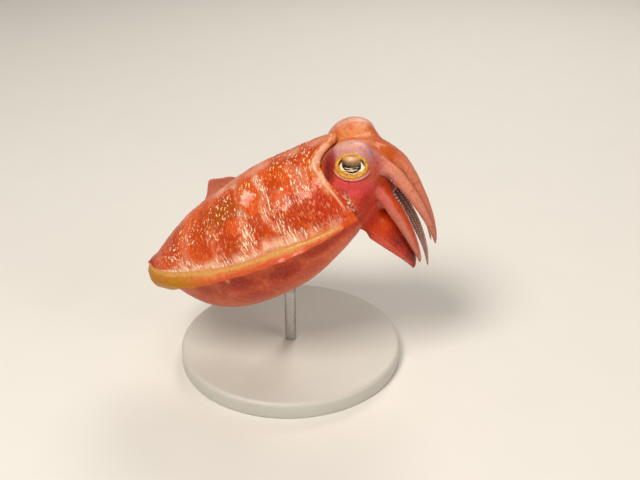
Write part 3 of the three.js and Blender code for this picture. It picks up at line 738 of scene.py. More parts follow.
def funnel_rings(sides=40):
    """The funnel: a tapering tube under the head with an open end"""
    start = np.array([FUNNEL_START[0], 0.0, FUNNEL_START[1]])
    end = np.array([FUNNEL_END[0], 0.0, FUNNEL_END[1]])
    length = np.linalg.norm(end - start)
    along = (end - start) / length
    side = np.array([0.0, 1.0, 0.0])
    up = np.cross(along, side)
    root, tip = FUNNEL_RADII
    deep = length - FUNNEL_BORE_DEPTH
    profile = [(root, 0.0), ((root + tip) / 2 + 0.3, length / 2), (tip, length - 0.4), (tip - 0.3, length)]
    profile += [(tip - FUNNEL_WALL, length), (tip - FUNNEL_WALL, deep)]
    angle = circle(sides)
    ring = np.cos(angle)[:, None] * side + np.sin(angle)[:, None] * up
    rings = [start + along * y + ring * r for r, y in profile]
    return np.array(rings), start, start + along * deep


def joined_head():
    """One closed surface of head, arms and funnel, in the body frame"""
    forms = []
    rings = head_rings()
    neck = np.array([HEAD_ROWS[0][0] - 1.0, 0.0, HEAD_ROWS[0][1]])
    forms.append(loft_mesh(rings, neck, np.array(HEAD_TIP)))
    share = np.concatenate([np.linspace(-ROOT_SHARE, 0, 9)[:-1], np.linspace(0, 1, 90)])
    for arm in ARMS:
        rings = arm_rings(arm, share)
        centre, tangent, _, _, half_width, _, _ = arm_frame(arm, share)
        forms.append(loft_mesh(rings, centre[0], centre[-1] + tangent[-1] * half_width[-1]))
    rings, start, end = funnel_rings()
    forms.append(loft_mesh(rings, start, end))
    points, faces = [], []
    count = 0
    for form_points, form_faces in forms:
        points.append(form_points)
        faces += [[i + count for i in f] for f in form_faces]
        count += len(form_points)
    source = mesh_object("head_source", np.concatenate(points), faces)
    remesh = source.modifiers.new("remesh", "REMESH")
    remesh.mode = "VOXEL"
    remesh.voxel_size = VOXEL
    depsgraph = bpy.context.evaluated_depsgraph_get()
    made = bpy.data.meshes.new_from_object(source.evaluated_get(depsgraph))
    bpy.data.objects.remove(source)
    return made


# Skin, drawn from tints, masks and lie lines that every point of the mesh carries
EYE_SCULPT_REACH = 1.75
SOCKET_DEPTH = 0.45
LID_COVER = 0.1
ROOT_ROUNDS = 360
BORDER_ROUNDS = 90
ROOT_TURNS = 40
ROOT_FILL = 0.9
ROOT_SHAVE = 0.85
RING_INNER = 0.79
FLAP_LOW = -0.55
# The pupil's upright limbs, each from its low to its high end, and the painted highlight lines in it: height,
# start and end
PUPIL_LIMBS = [((-4.35, 0.0), (-3.35, 1.7)), ((4.2, 0.5), (3.2, 1.9))]
PUPIL_GLINTS = [(-0.45, -0.2, 2.2), (-0.8, -2.0, 0.4), (-1.15, -0.4, 1.9), (-1.45, -1.5, 0.9)]
EYE_RELIEF = 0.12
EYE_MESH = (150, 240)
# Rounds of smoothing that find the creases for the painted shade
CREASE_SHADE_ROUNDS = 24
WRINKLE_HEIGHT = 0.05
FOLD_HEIGHT = 0.13
FINE_FOLD_HEIGHT = 0.05
# Radius at which the body's skin is unrolled for its markings, and how far the head's lie off them
UNROLLED_RADIUS = 14.0
HEAD_LIE_SHIFT = 60


def eye_place(points, side):
    """Where points lie about an eye: in shares of its gold ring, then along, up and out in millimetres"""
    centre, level, upright, look = eye_axes(side)
    offset = points - centre
    along, up, out = offset @ level, offset @ upright, offset @ look
    return np.hypot(along / EYE_RING[0], up / EYE_RING[1]), along, up, out


def ball_height(along, up):
    """Height of the eyeball's surface over the middle of its bulge"""
    left = 1 - (along / EYE_RADII[0]) ** 2 - (up / EYE_RADII[1]) ** 2
    return EYE_DEPTH + EYE_RADII[2] * np.sqrt(np.clip(left, 0, 1))


def sculpt_eyes(points):
    """The sockets, the raised ring round each eye and the fold under it"""
    points = points.copy()
    for side in (1, -1):
        look = eye_axes(side)[3]
        share, along, up, out = eye_place(points, side)
        front = out > 2
        rim = 0.3 * bell(share, 0.97, 0.1)
        below = np.clip(-up / (np.abs(up) + np.abs(along) + 1e-6), 0, 1)
        rim = rim + 0.28 * below * bell(share, 1.14, 0.08)
        rim = rim - 0.16 * bell(share, 1.3, 0.1) * (0.4 + below)
        outside = step(RING_INNER - 0.05, RING_INNER + 0.05, share)
        ball = ball_height(along, up)
        socket = (ball - SOCKET_DEPTH - out) * (1 - outside)
        under = ball + LID_COVER - out
        cover = 0.5 * (under + np.hypot(under, 0.4)) * outside
        cover = cover * step(1.35, 1.15, share)
        shift = np.where(front & (share < EYE_SCULPT_REACH), rim + socket + cover, 0)
        points += shift[:, None] * look
    return points


def refine_near_eyes(mesh):
    """Splits the faces round the eyes finer"""
    work = bmesh.new()
    work.from_mesh(mesh)
    points = np.array([v.co for v in work.verts])
    near = np.zeros(len(points), bool)
    for side in (1, -1):
        share, _, _, out = eye_place(points, side)
        near |= (share < 1.45) & (out > 2)
    work.verts.ensure_lookup_table()
    edges = [e for e in work.edges if near[e.verts[0].index] and near[e.verts[1].index]]
    bmesh.ops.subdivide_edges(work, edges=edges, cuts=2, use_grid_fill=True)
    work.to_mesh(mesh)
    work.free()


def nearest_source(points):
    """For each point of the head's skin: which form it lies on, and how far along and round that form"""
    share = np.linspace(-0.12, 1, 100)
    places, facts = [], []
    for number, arm in enumerate(ARMS):
        rings = arm_rings(arm, share, 24)
        angle = circle(24)
        places.append(rings.reshape(-1, 3))
        fact = np.zeros((*rings.shape[:2], 3))
        fact[..., 0] = number + 1
        fact[..., 1] = share[:, None]
        fact[..., 2] = angle[None, :]
        facts.append(fact.reshape(-1, 3))
    rings = head_rings(60, 90).reshape(-1, 3)
    places.append(rings)
    facts.append(np.zeros((len(rings), 3)))
    rings = funnel_rings(24)[0][:5]
    rings = np.concatenate([rings[:-1] * (1 - t) + rings[1:] * t for t in (0, 0.25, 0.5, 0.75)])
    places.append(rings.reshape(-1, 3))
    fact = np.zeros((len(places[-1]), 3))
    fact[:, 0] = 9
    facts.append(fact)
    places = np.concatenate(places)
    facts = np.concatenate(facts)
    tree = KDTree(len(places))
    for i, place in enumerate(places):
        tree.insert(place, i)
    tree.balance()
    index = [tree.find(p)[1] for p in points]
    return facts[index]


def ease_roots(mesh, points, ends):
    """Fills the creases where the arms leave the head, so that one skin runs over both"""
    number, share, _ = nearest_source(points).T
    border = (number == 0)[:, None].astype(float)
    for _ in range(BORDER_ROUNDS):
        border = neighbour_mean(border, ends)
    border = step(0.0, 0.3, 4 * border[:, 0] * (1 - border[:, 0])) * (points[:, 0] > 72)
    arm = (number > 0) * (number < 9) * step(0.32, 0.12, share)
    free = np.minimum(eye_place(points, 1)[0], eye_place(points, -1)[0])
    ease = (np.maximum(border, arm) * step(1.25, 1.7, free))[:, None]
    for round_number in range(ROOT_ROUNDS):
        if round_number % ROOT_TURNS == 0:
            set_points(mesh, points)
            normals = normals_of(mesh)
        shift = neighbour_mean(points, ends) - points
        outward = (shift * normals).sum(1, keepdims=True)
        points = points + ease * np.where(outward > 0, ROOT_FILL, ROOT_SHAVE) * shift
    return points


def make_head(mesh):
    """Smooths the head's mesh, eases the arms into it and sculpts the eyes. Gives its points."""
    ends = neighbours(mesh)
    points = relax(mesh_points(mesh), ends, 5)
    set_points(mesh, ease_roots(mesh, points, ends))
    refine_near_eyes(mesh)
    points = sculpt_eyes(mesh_points(mesh))
    set_points(mesh, points)
    return points


TONE_CODES = {
    "orange": "D24C00",
    "deep": "B03602",
    "brown": "A04608",
    "crimson": "A81008",
    "pink": "D8724C",
    "pale": "EDAE90",
    "blush": "F2BE9E",
    "cream": "FFF0D2",
    "fleck_gold": "FFD484",
    "white": "F6D4C4",
    "gold": "CE9C56",
    "olive": "A87A0E",
    "salmon": "D27C48",
    "fin_pink": "C27C62",
    "flank": "D05430",
    "flank_dark": "9E2010",
    "belly": "CE7450",
    "patch": "EC8C7A",
    "lavender": "C68A88",
    "mauve": "A8727A",
    "rose": "E24A4E",
    "cheek": "BC3A26",
    "maroon": "560A12",
    # Painted shade behind the eyes
    "shadow": "860E1A",
    "band": "C85A0A",
    "dome": "D4792C",
    "dome_pale": "E8AA88",
    "arm_orange": "BE520E",
    "arm_pink": "C87866",
    "arm_salmon": "DC8C72",
    "arm_rose": "CE5E52",
    "arm_red": "AE1C0A",
    "arm_glow": "C63E08",
    "inner": "96625C",
    "ring": "DAA638",
    "ring_dark": "A0640C",
    "lid": "F0B09C",
    "iris": "F2DDC0",
    "iris_edge": "C4882E",
    "iris_gold": "C47E1E",
    "iris_line": "F2CC84",
    "iris_dark": "8A5A18",
    "limb": "2E1238",
    "slit": "140806",
    # Painted highlight lines in the pupil
    "pupil_glint": "FFE6BC",
    "flap_black": "1E0E06",
    "flap_brown": "4E340E",
    "flap_tan": "80562A",
    "flap_rim": "C48E5A",
    "mottle": "8A2002",
    "speck_light": "E0661A",
    "speck_dark": "9A2800",
    "dot": "5A1418",
    # Painted shade in the creases and inside the collar
    "crease": "520A0C",
    "sucker_dark": "B98A84",
    "sucker_light": "E0BDB0",
    "paint_dark": "B9B5AD",
    "paint_light": "C4C1BA",
    "floor_dark": "DAD7D2",
    "floor_light": "DEDBD6",
}
TONE = {name: linear(code) for name, code in TONE_CODES.items()}

# Markings of the mantle. Each: tone, distance along, degrees down from the back, half length, half breadth
# in degrees, and strength. They lie on both sides, the left ones a little shifted.
BLOTCHES = [
    ("brown", 38.0, 33, 6.5, 14, 0.85),
    ("deep", 61.0, 60, 6.0, 15, 1.0),
    ("deep", 57.0, 33, 3.0, 8, 0.7),
    ("deep", 62.0, 7, 9.0, 7, 0.7),
    ("deep", 26.5, 50, 3.5, 22, 0.6),
    ("deep", 37.5, 66, 3.4, 13, 0.95),
    ("deep", 48.5, 64, 2.7, 14, 0.9),
    ("deep", 13.0, 40, 4.0, 22, 0.6),
    ("crimson", 71.0, 72, 5.0, 15, 0.6),
    ("crimson", 0.5, 50, 4.4, 80, 1.0),
    ("pink", 66.0, 42, 2.6, 10, 0.7),
    ("pink", 58.5, 49, 1.6, 9, 0.6),
    ("white", 47.7, 33, 2.1, 6.0, 0.75),
    ("patch", 48.0, 35.5, 1.4, 4.0, 0.9),
    ("white", 58.9, 56, 1.2, 2.6, 0.6),
    ("patch", 58.9, 55, 0.7, 1.4, 0.9),
    ("blush", 71.0, 87, 2.2, 5.0, 0.4),
]

# Dark clouds of the flank under the fin line, and one painted highlight on a fold there
FLANK_BLOTCHES = [
    ("flank_dark", 34.0, 106, 6.0, 8, 0.8),
    ("flank_dark", 49.0, 111, 6.0, 9, 0.95),
    ("flank_dark", 63.0, 104, 7.0, 7, 0.75),
    ("flank_dark", 36.0, 128, 8.0, 9, 0.45),
    ("flank_dark", 21.0, 109, 4.0, 8, 0.4),
    ("crimson", 75.0, 99, 5.0, 12, 0.75),
    # Painted highlight on the fold at the fin's lower root
    ("blush", 30.3, 99, 0.6, 4.5, 0.8),
]
LEFT_SHIFT = (1.5, 3.0)

# Pale columns down the sides. Each row: degrees down from the back, distance along, half width, strength
PALE_COLUMNS = [
    [(10, 62, 1.0, 0.0), (20, 63.5, 1.5, 0.6), (35, 66, 2.6, 0.8), (60, 66, 1.5, 0.3), (90, 66, 1, 0.3)],
    [(5, 50.5, 1.2, 0.3), (22, 51.5, 1.8, 0.9), (33, 53.2, 1.5, 0.9), (54, 52.5, 2.4, 1), (75, 56, 3.2, 1),
     (90, 55, 4.0, 0.6)],
    [(2, 36, 3.0, 0.7), (8, 42.5, 1.6, 0.9), (30, 44, 1.0, 0.3), (42, 44.2, 1.4, 0.8), (66, 43, 2.4, 1),
     (90, 41, 4.0, 0.6)],
    [(35, 33, 1.0, 0.0), (47, 32.6, 1.8, 0.6), (60, 32.5, 1.4, 0.5), (70, 32, 2.0, 0.6), (90, 31, 4.5, 0.7)],
    [(25, 22, 1.0, 0.2), (34, 21.5, 2.0, 0.5), (62, 19.5, 1.6, 0.7), (72, 18.5, 4, 0.9), (90, 16, 8, 0.8)],
]

# Clusters of flecks. Each: distance along, degrees down from the back, half length, half breadth, strength
FLECK_CLUSTERS = [
    (64.0, 15, 8.0, 13, 1.0),
    (48.5, 24, 4.0, 9, 1.0),
    (38.0, 27, 5.0, 13, 0.9),
    (66.0, 38, 5.0, 12, 0.9),
    (52.5, 24, 2.5, 12, 1.0),
    (31.0, 42, 5.0, 12, 0.7),
    (23.0, 34, 6.0, 14, 0.7),
    (14.0, 50, 6.0, 20, 0.7),
    (59.0, 54, 5.0, 10, 0.5),
    (44.0, 62, 4.0, 14, 0.6),
]

# Marks of the head about each eye. Each: tone, millimetres along and up from it, half length, half height,
# and strength
HEAD_MARKS = [
    ("lavender", 1.0, 5.0, 10.5, 5.5, 1.0),
    ("blush", -2.0, 6.4, 5.0, 1.8, 0.35),
    ("mauve", 7.4, 3.4, 3.2, 3.2, 0.7),
    ("rose", 1.0, -6.6, 8.0, 3.4, 0.95),
    ("crimson", 6.5, -12.2, 4.5, 5.0, 0.8),
    ("crimson", -3.8, -10.0, 3.0, 2.6, 0.7),
    ("arm_rose", 9.0, -2.0, 4.2, 6.0, 0.8),
    # Painted shade behind the eye, where the mantle's edge shades the bulge
    ("shadow", -7.3, -1.2, 2.3, 5.0, 0.95),
    ("maroon", -7.6, -2.6, 1.1, 2.8, 0.6),
]


def pale_columns(along, off, roughness):
    """How far each place lies in one of the pale columns"""
    most = np.zeros(len(along))
    for rows in PALE_COLUMNS:
        place, half, strength = smooth(rows, off).T
        far = abs(along - place) / half * (1 + 0.5 * roughness)
        most = np.maximum(most, strength * step(1.4, 0.5, far))
    return most


class BodyPlaces:
    """Where the body's points lie, and the noises that its markings share

    along is in millimetres from the tail and off in degrees down from the back. out is the share of a fin's
    width, and across the same in millimetres. flat holds places on the unrolled skin, and from_edge the
    millimetres from the mantle's front edge.
    """

    def __init__(self, tags):
        self.along, angle, self.out, self.across = tags.T
        degrees = 90 - np.degrees(angle)
        degrees = np.where(degrees < -180, degrees + 360, degrees)
        side = np.sign(degrees)
        self.off = abs(degrees)
        round_body = np.radians(degrees) * UNROLLED_RADIUS + side * self.across
        self.flat = np.stack([self.along, round_body, 0 * self.along], -1)
        self.from_edge = edge_share(angle) * MANTLE_LENGTH - self.along
        self.marks_along = self.along - LEFT_SHIFT[0] * (side > 0)
        self.marks_off = self.off - LEFT_SHIFT[1] * (side > 0)
        self.patch = lattice_noise(self.flat * (1, 0.45, 1), 6.0, SEED)
        self.columns = lattice_noise(self.flat * (1, 0.2, 1), 2.2, SEED + 1)
        self.fine = lattice_noise(self.flat, 1.3, SEED + 2)
        self.cloud = lattice_noise(self.flat * (1, 0.8, 1), 5.0, SEED + 3)
        tiny = lattice_noise(self.flat, 0.6, SEED + 12)
        self.edge = np.maximum(1 + 0.5 * self.columns + 0.4 * self.fine + 0.9 * tiny, 0.35)
        self.flank = step(92, 97, self.off)
        self.fin = step(0.0, 0.02, self.out) * step(73.0, 71.0, self.along)
        rough = pale_columns(self.marks_along, self.marks_off, self.columns + 0.6 * self.fine)
        self.pale = rough * step(90, 86, self.off)

    def far_from(self, at, turn, length, breadth):
        """Square of how far each point lies from a marking's middle. It is 1 on the marking's outline."""
        return ((self.marks_along - at) / length) ** 2 + ((self.marks_off - turn) / breadth) ** 2


def ground_tint(b):
    """The mantle's ground: mottled orange, pink columns, and the flank and belly under the fins"""
    return lay(
        plain("orange", len(b.along)),
        ("deep", 0.75 * step(0.0, 0.5, b.patch + 0.6 * b.columns)),
        ("pink", 0.12 * step(0.2, 0.7, -b.patch + 0.6 * b.columns)),
        ("flank", b.flank),
        ("flank_dark", 0.35 * b.flank * step(0.0, 0.5, b.cloud)),
        ("pink", 0.45 * b.flank * step(0.0, 0.5, b.fine - b.cloud)),
        ("belly", 0.75 * step(124, 150, b.off + 6 * b.fine)),
        ("pink", 0.8 * b.pale),
        ("pale", 0.6 * b.pale * step(0.0, 0.6, b.columns - 0.4 * b.fine)),
    )


def blotch_tint(b, colour):
    """The placed blotches of the back, sides and flank, with one painted highlight on the flank's fold"""
    for tone, *place, strength in BLOTCHES:
        colour = mix(colour, TONE[tone], strength * step(1.6, 0.5, b.far_from(*place) * b.edge))
    torn = 1 + 0.6 * b.cloud + 0.3 * b.fine
    for tone, *place, strength in FLANK_BLOTCHES:
        colour = mix(colour, TONE[tone], strength * b.flank * step(2.0, 0.0, b.far_from(*place) * torn))
    return colour


def border_tint(b, colour):
    """The back's pale crest, partly a painted rim highlight, the pale band over the fin line with its orange
    tongues, and the front margin
    """
    # The crest: a pale ridge along the top of the back, partly a painted rim highlight
    crest = step(13, 3, b.off) * step(8, 30, b.along)
    band = bell(b.off, 84 - 4 * b.columns, 5.0) * step(90, 87, b.off)
    tongue = band * step(3, 9, b.along) * step(70, 62, b.along)
    margin = step(3.4, 1.8, b.from_edge + 0.4 * b.fine) * step(68, 50, b.off)
    return lay(
        colour,
        ("pale", 0.5 * crest * (0.6 + 0.6 * b.columns)),
        ("blush", tongue * (0.65 + 0.4 * b.pale + 0.6 * b.columns)),
        ("salmon", 0.8 * margin),
        ("blush", 0.6 * margin * step(0.0, 0.5, b.fine + b.columns)),
        ("cream", 0.4 * bell(b.from_edge, 0.9, 0.35) * step(84, 70, b.off)),
    )


def fin_tint(b, colour, tail_side, crest):
    """Fins: golden root, salmon middle, darker edge, olive towards the tail and pink on the raised fold"""
    tone = lay(
        plain("gold", len(b.along)),
        ("salmon", step(0.15, 0.4, b.out + 0.12 * b.fine)),
        ("flank", 0.85 * step(0.4, 0.75, b.out + 0.2 * b.fine + 0.1 * b.cloud)),
        ("olive", tail_side * (0.55 + 0.45 * b.out)),
        ("fin_pink", crest),
        ("arm_rose", 0.3 * crest * step(0.7, 0.95, b.out)),
    )
    golden = bell(b.off, 91, 3.6) * step(73, 69.5, b.along)
    return lay(colour, (tone, b.fin), ("gold", golden * (b.out < 0.3) * (0.85 + 0.3 * b.columns)))


def body_tint(b):
    """Colours of the mantle and fins, where flecks, streaks and pigment dots lie, and how clear it is"""
    tail_side = step(30, 12, b.along)
    crest = step(5.0, 8.0, b.across)
    colour = border_tint(b, blotch_tint(b, ground_tint(b)))
    colour = fin_tint(b, colour, tail_side, crest)
    skin = step(94, 84, b.off) * (1 - b.fin)
    fleck = 0.3 + 0 * b.along
    for *place, strength in FLECK_CLUSTERS:
        fleck = np.maximum(fleck, strength * step(1.5, 0.4, b.far_from(*place) * b.edge))
    streak = np.clip(0.06 + 0.9 * b.pale + 0.5 * bell(b.off, 82, 6), 0, 1)
    spots = np.full(len(b.along), 0.35)
    thin = b.fin * step(0.45, 1.0, b.out) * (0.22 + 0.1 * tail_side) * (1 - 0.8 * crest)
    return colour, fleck * skin, streak * skin + 0.22 * b.flank * (1 - b.fin), spots, thin


def arm_tone(kind, share, front, oral, wide, fine):
    """Colours along and round an arm. front runs from -1 on its rear edge to 1 on its front edge."""
    base = plain(("arm_orange", "arm_salmon", "arm_rose", "arm_red")[kind], len(share))
    if kind == 0:
        return lay(
            base,
            ("arm_salmon", 0.7 * step(0.1, 0.35, share)),
            ("arm_pink", step(0.4, 0.8, share)),
            ("mauve", 0.6 * step(0.2, 0.9, front) * step(0.1, 0.3, share)),
        )
    if kind == 1:
        return lay(
            base,
            ("arm_pink", step(0.4, 1.0, share)),
            ("mauve", 0.5 * step(0.5, 0.05, share) * step(0.3, -0.6, front + 0.3 * fine)),
            ("arm_orange", 0.85 * step(0.55, 0.9, front)),
        )
    if kind == 2:
        return lay(
            base,
            ("arm_pink", step(0.2, 0.7, share)),
            ("crimson", 0.8 * step(-0.1, -0.8, front + 0.2 * wide) * step(0.42, 0.2, share)),
            ("arm_glow", 0.9 * step(0.5, 0.85, front + 0.15 * wide) * step(0.95, 0.7, share)),
        )
    dark = step(0.34, 0.56, share) * step(-0.95, -0.5, oral + 0.35 * wide) * (0.85 + 0.3 * fine)
    return lay(
        base,
        ("arm_glow", 0.9 * bell(share, 0.33, 0.2) * (0.8 + wide)),
        ("crimson", 0.7 * step(0.16, 0.04, share)),
        ("maroon", 0.8 * dark),
        ("crimson", 0.8 * step(0.1, 0.5, oral) * step(0.5, 0.3, share)),
        ("maroon", 0.6 * bell(share, 0.52, 0.09) * step(0.0, 0.5, oral)),
        ("arm_rose", 0.7 * step(-0.62, -0.95, oral) * step(0.2, 0.4, share)),
    )


def eye_field(colour, points, side, free, fine, wide):
    """The skin about an eye: pale above it with fine level streaks, its marks with painted shade behind it,
    and the share of its dots
    """
    _, along, up, out = eye_place(points, side)
    height = to_row(points)[:, 2] / MM
    away = np.linalg.norm(points - eye_axes(side)[0], axis=1)
    near = step(17.0, 13.0, away) * step(-1.5, 1.5, out)
    upper = 9.3 - 0.052 * (along + 1.0) ** 2 + 0.5 * fine
    inside = near * step(upper + 0.6, upper - 0.6, up)
    streaks = lattice_noise(np.stack([along * 0.3, up * 1.8, 0 * up], -1), 1.0, SEED + 10)
    crown = step(17.0, 13.0, away) * step(-10.0, -6.0, out) * step(6.0, 2.0, along + 0.5 * fine)
    top = crown * (1 - inside) * step(71.0, 77.0, height) * free
    colour = lay(
        colour,
        ("dome", top * (0.65 + 0.9 * streaks)),
        ("dome_pale", 0.7 * top * step(84.5, 90.5, height + 1.5 * streaks + wide)),
        ("cheek", inside * free * step(-1.0, 3.0, up)),
    )
    edge = 1 + 0.3 * fine + 0.3 * wide
    for tone, at, rise, length, tall, strength in HEAD_MARKS:
        far = ((along - at) / length) ** 2 + ((up - rise) / tall) ** 2
        colour = mix(colour, TONE[tone], strength * inside * free * step(1.8, 0.2, far * edge))
    # A pale inner side of the left eye's bulge, and bright grains under each eye
    medial = step(4.0, 1.0, out)
    pale = 0.7 * inside * free * medial * step(82.0, 86.0, height) * (side == 1)
    grains = lattice_noise(points, 0.5, SEED + 13)
    sparkle = bell(along + 0.35 * (up + 13), -1.0, 1.3) * bell(up, -13.6, 3.4) * step(-0.1, 0.2, grains)
    colour = lay(colour, ("dome_pale", pale), ("cream", 1.2 * sparkle * (out > 0)))
    return colour, 0.9 * inside * step(-2, 3, up)


def eye_rim(colour, points, side, fine):
    """An eye's gold ring, broken above into specks, and the pale lid with painted shade in the fold under it
    """
    share, along, up, out = eye_place(points, side)
    seen = out > 2
    grit = lattice_noise(np.stack([along, up, out], -1), 0.33, SEED + 11) + 0.7 * fine
    broken = 1 - 0.75 * step(0.0, 0.4, grit) * step(1.5, 3.5, up) * step(0.86, 0.94, share)
    ring = step(RING_INNER - 0.06, RING_INNER - 0.01, share) * step(1.03, 0.97, share) * seen * broken
    edges = np.maximum(step(0.94, 1.0, share), step(0.82, 0.76, share))
    down = step(0.1, 0.45, -up / (abs(up) + abs(along) + 1e-6))
    return lay(
        colour,
        ("ring", ring),
        ("ring_dark", ring * np.maximum(0.8 * edges, 0.6 * step(0.0, 0.8, grit))),
        ("lid", bell(share, 1.12, 0.075) * down * seen),
        # Painted shade along the fold under the lid
        ("maroon", 0.75 * bell(share, 1.26, 0.045) * down * seen),
    )


def head_tint(points, facts):
    """Colours of the head, arms and funnel, and the share of their pigment dots"""
    number, share, angle = facts.T
    fine = lattice_noise(points, 1.1, SEED + 4)
    wide = lattice_noise(points, 4.0, SEED + 5)
    colour = lay(
        plain("band", len(points)),
        ("deep", 0.45 * step(0.0, 0.5, wide)),
        ("cheek", step(3.0, -3.0, points[:, 2])),
    )
    is_arm = (number > 0) & (number < 9)
    for k, arm in enumerate(ARMS):
        mine = (number == k + 1) * step(-0.06, 0.16, share)
        front = -arm[0] * np.cos(angle)
        colour = mix(colour, arm_tone(k % 4, share, front, np.sin(angle), wide, fine), mine)
    inner = is_arm * step(0.25, 0.7, np.sin(angle)) * step(0.05, 0.2, share)
    colour = mix(colour, TONE["inner"], 0.9 * inner * (number % 4 != 0))
    spots = np.full(len(points), 0.55)
    free = 1 - is_arm * step(0.08, 0.3, share)
    for side in (1, -1):
        colour, dots = eye_field(colour, points, side, free, fine, wide)
        spots = np.maximum(spots, dots)
        colour = eye_rim(colour, points, side, fine)
    return colour, spots


class Material:
    """Short ways to build one node material"""

    def __init__(self, name):
        self.made = bpy.data.materials.new(name)
        self.made.use_nodes = True
        self.tree = self.made.node_tree
        self.shader = self.tree.nodes["Principled BSDF"]

    def node(self, kind, inputs=None, **settings):
        """A node, with its settings, and its inputs linked or set"""
        node = self.tree.nodes.new("ShaderNode" + kind)
        for name, value in settings.items():
            setattr(node, name, value)
        for name, value in (inputs or {}).items():
            self.put(node.inputs[name], value)
        return node

    def put(self, socket, value):
        """Links a socket to a value's node, or sets it"""
        if isinstance(value, bpy.types.NodeSocket):
            self.tree.links.new(value, socket)
        elif isinstance(value, bpy.types.Node):
            self.tree.links.new(value.outputs[0], socket)
        elif hasattr(value, "__len__") and len(value) == 3 and socket.type == "RGBA":
            socket.default_value = (*value, 1)
        else:
            socket.default_value = value

    def attribute(self, name, output="Fac"):
        """What the mesh carries by this name"""
        return self.node("Attribute", attribute_name=name).outputs[output]

    def math(self, operation, a, b):
        """One sum of two values"""
        return self.node("Math", {0: a, 1: b}, operation=operation).outputs[0]

    def times(self, a, b):
        """Two values multiplied"""
        return self.math("MULTIPLY", a, b)

    def mix(self, share, a, b):
        """Colour a moved towards colour b"""
        node = self.node("Mix", data_type="RGBA")
        for place, value in ((0, share), (6, a), (7, b)):
            self.put(node.inputs[place], value)
        return node.outputs[2]

    def steps(self, value, low, high, start=0.0, end=1.0):
        """A value led smoothly from start at low to end at high"""
        inputs = {0: value, 1: low, 2: high, 3: start, 4: end}
        return self.node("MapRange", inputs, interpolation_type="SMOOTHSTEP").outputs[0]

    def scaled(self, vector, scale):
        """Places stretched by a scale for each axis"""
        return self.node("Mapping", {"Vector": vector, "Scale": scale}).outputs[0]

    def noise(self, vector, scale, detail=3.0, roughness=0.5):
        """Smooth noise from 0 to 1"""
        inputs = {"Vector": vector, "Scale": scale, "Detail": detail, "Roughness": roughness}
        return self.node("TexNoise", inputs).outputs["Fac"]

    def cells(self, vector, scale):
        """Distance from the nearest of many scattered points"""
        return self.node("TexVoronoi", {"Vector": vector, "Scale": scale}).outputs["Distance"]

    def bump(self, height, distance, strength=1.0, normal=None):
        """The normal over a relief of this height, over another relief's if there is one"""
        inputs = {"Height": height, "Distance": distance, "Strength": strength}
        if normal is not None:
            inputs["Normal"] = normal
        return self.node("Bump", inputs).outputs[0]

    def finish(self, **values):
        """Sets or links the shader's inputs, named with _ for spaces"""
        for name, value in values.items():
            self.put(self.shader.inputs[name.replace("_", " ")], value)
        return self.made


def skin_material():
    """Wet skin: tints under mottling, pale streaks with nearly white ones that are partly painted highlights,
    cream and golden flecks, dark dots, painted shade in the creases, and wrinkles
    """
    m = Material("skin")
    lie = m.attribute("lie", "Vector")
    fleck = m.attribute("fleck")
    streak = m.attribute("streak")
    mottle = m.noise(lie, 0.7, 5.0, 0.65)
    colour = m.mix(m.steps(mottle, 0.5, 0.72, 0.0, 0.4), m.attribute("skin_tint", "Color"), TONE["mottle"])
    speck = m.noise(m.scaled(lie, (3.4, 1.5, 1.0)), 1.0, 2.0, 0.7)
    colour = m.mix(m.steps(speck, 0.52, 0.66, 0.0, 0.3), colour, TONE["speck_light"])
    colour = m.mix(m.steps(speck, 0.48, 0.34, 0.0, 0.4), colour, TONE["speck_dark"])
    # Fine streaks across the body: pale pink everywhere, nearly white in the pale columns, where they are
    # partly white markings and partly painted highlights on wet wrinkles
    fine_streaks = m.noise(m.scaled(lie, (2.6, 0.7, 1.0)), 1.0, 3.0, 0.6)
    share = m.times(m.steps(fine_streaks, 0.5, 0.66), streak)
    colour = m.mix(m.times(share, 0.55), colour, TONE["pale"])
    streaks = m.noise(m.scaled(lie, (1.7, 0.42, 1.0)), 1.0, 3.0, 0.6)
    # Nearly white streaks: partly white markings, partly painted highlights
    white_marks_and_glints = m.times(m.steps(streaks, 0.54, 0.6), m.steps(streak, 0.55, 1.0))
    colour = m.mix(m.times(white_marks_and_glints, 0.85), colour, TONE["cream"])
    # Flecks in clusters, of two sizes, golden or cream
    drift = m.noise(lie, 1.4)
    drift_vector = m.node("CombineXYZ", {0: drift, 1: drift})
    bent = m.node("VectorMath", {0: lie, 1: drift_vector}, operation="ADD").outputs[0]
    large = m.steps(m.cells(m.scaled(bent, (1.0, 0.5, 1.0)), 1.25), 0.32, 0.22)
    small = m.steps(m.cells(m.scaled(bent, (1.0, 0.45, 1.0)), 1.9), 0.28, 0.17)
    scatter = m.steps(m.noise(lie, 0.5, 3.0, 0.6), 0.7, 0.5)
    both = m.math("MAXIMUM", large, m.times(small, scatter))
    flecks = m.times(both, m.steps(fleck, 0.05, 0.9))
    shade = m.mix(m.steps(m.noise(lie, 0.16), 0.42, 0.58), TONE["fleck_gold"], TONE["cream"])
    colour = m.mix(m.times(flecks, 0.95), colour, shade)
    # Dark pigment dots, and painted shade in the creases and inside the collar
    dots = m.steps(m.cells(lie, 3.0), 0.36, 0.2)
    colour = m.mix(m.times(m.times(dots, 0.4), m.attribute("spots")), colour, TONE["dot"])
    colour = m.mix(m.times(m.attribute("crease"), 0.6), colour, TONE["crease"])
    grain = m.bump(m.noise(lie, 2.4, 4.0, 0.65), 0.00022, 0.7)
    wrinkles = m.bump(streaks, 0.0008, m.steps(streak, 0.0, 1.0, 0.35, 0.9), grain)
    return m.finish(
        Base_Color=colour,
        Roughness=m.steps(m.noise(lie, 1.1, 3.0), 0.35, 0.65, 0.28, 0.46),
        Normal=m.bump(flecks, 0.00015, 0.7, wrinkles),
        Alpha=m.math("SUBTRACT", 1.0, m.attribute("thin")),
        Subsurface_Weight=0.12,
        Subsurface_Radius=(0.0022, 0.0007, 0.0004),
        Subsurface_Scale=1.0,
        Specular_IOR_Level=0.1,
        Coat_Weight=0.18,
        Coat_Roughness=0.1,
    )


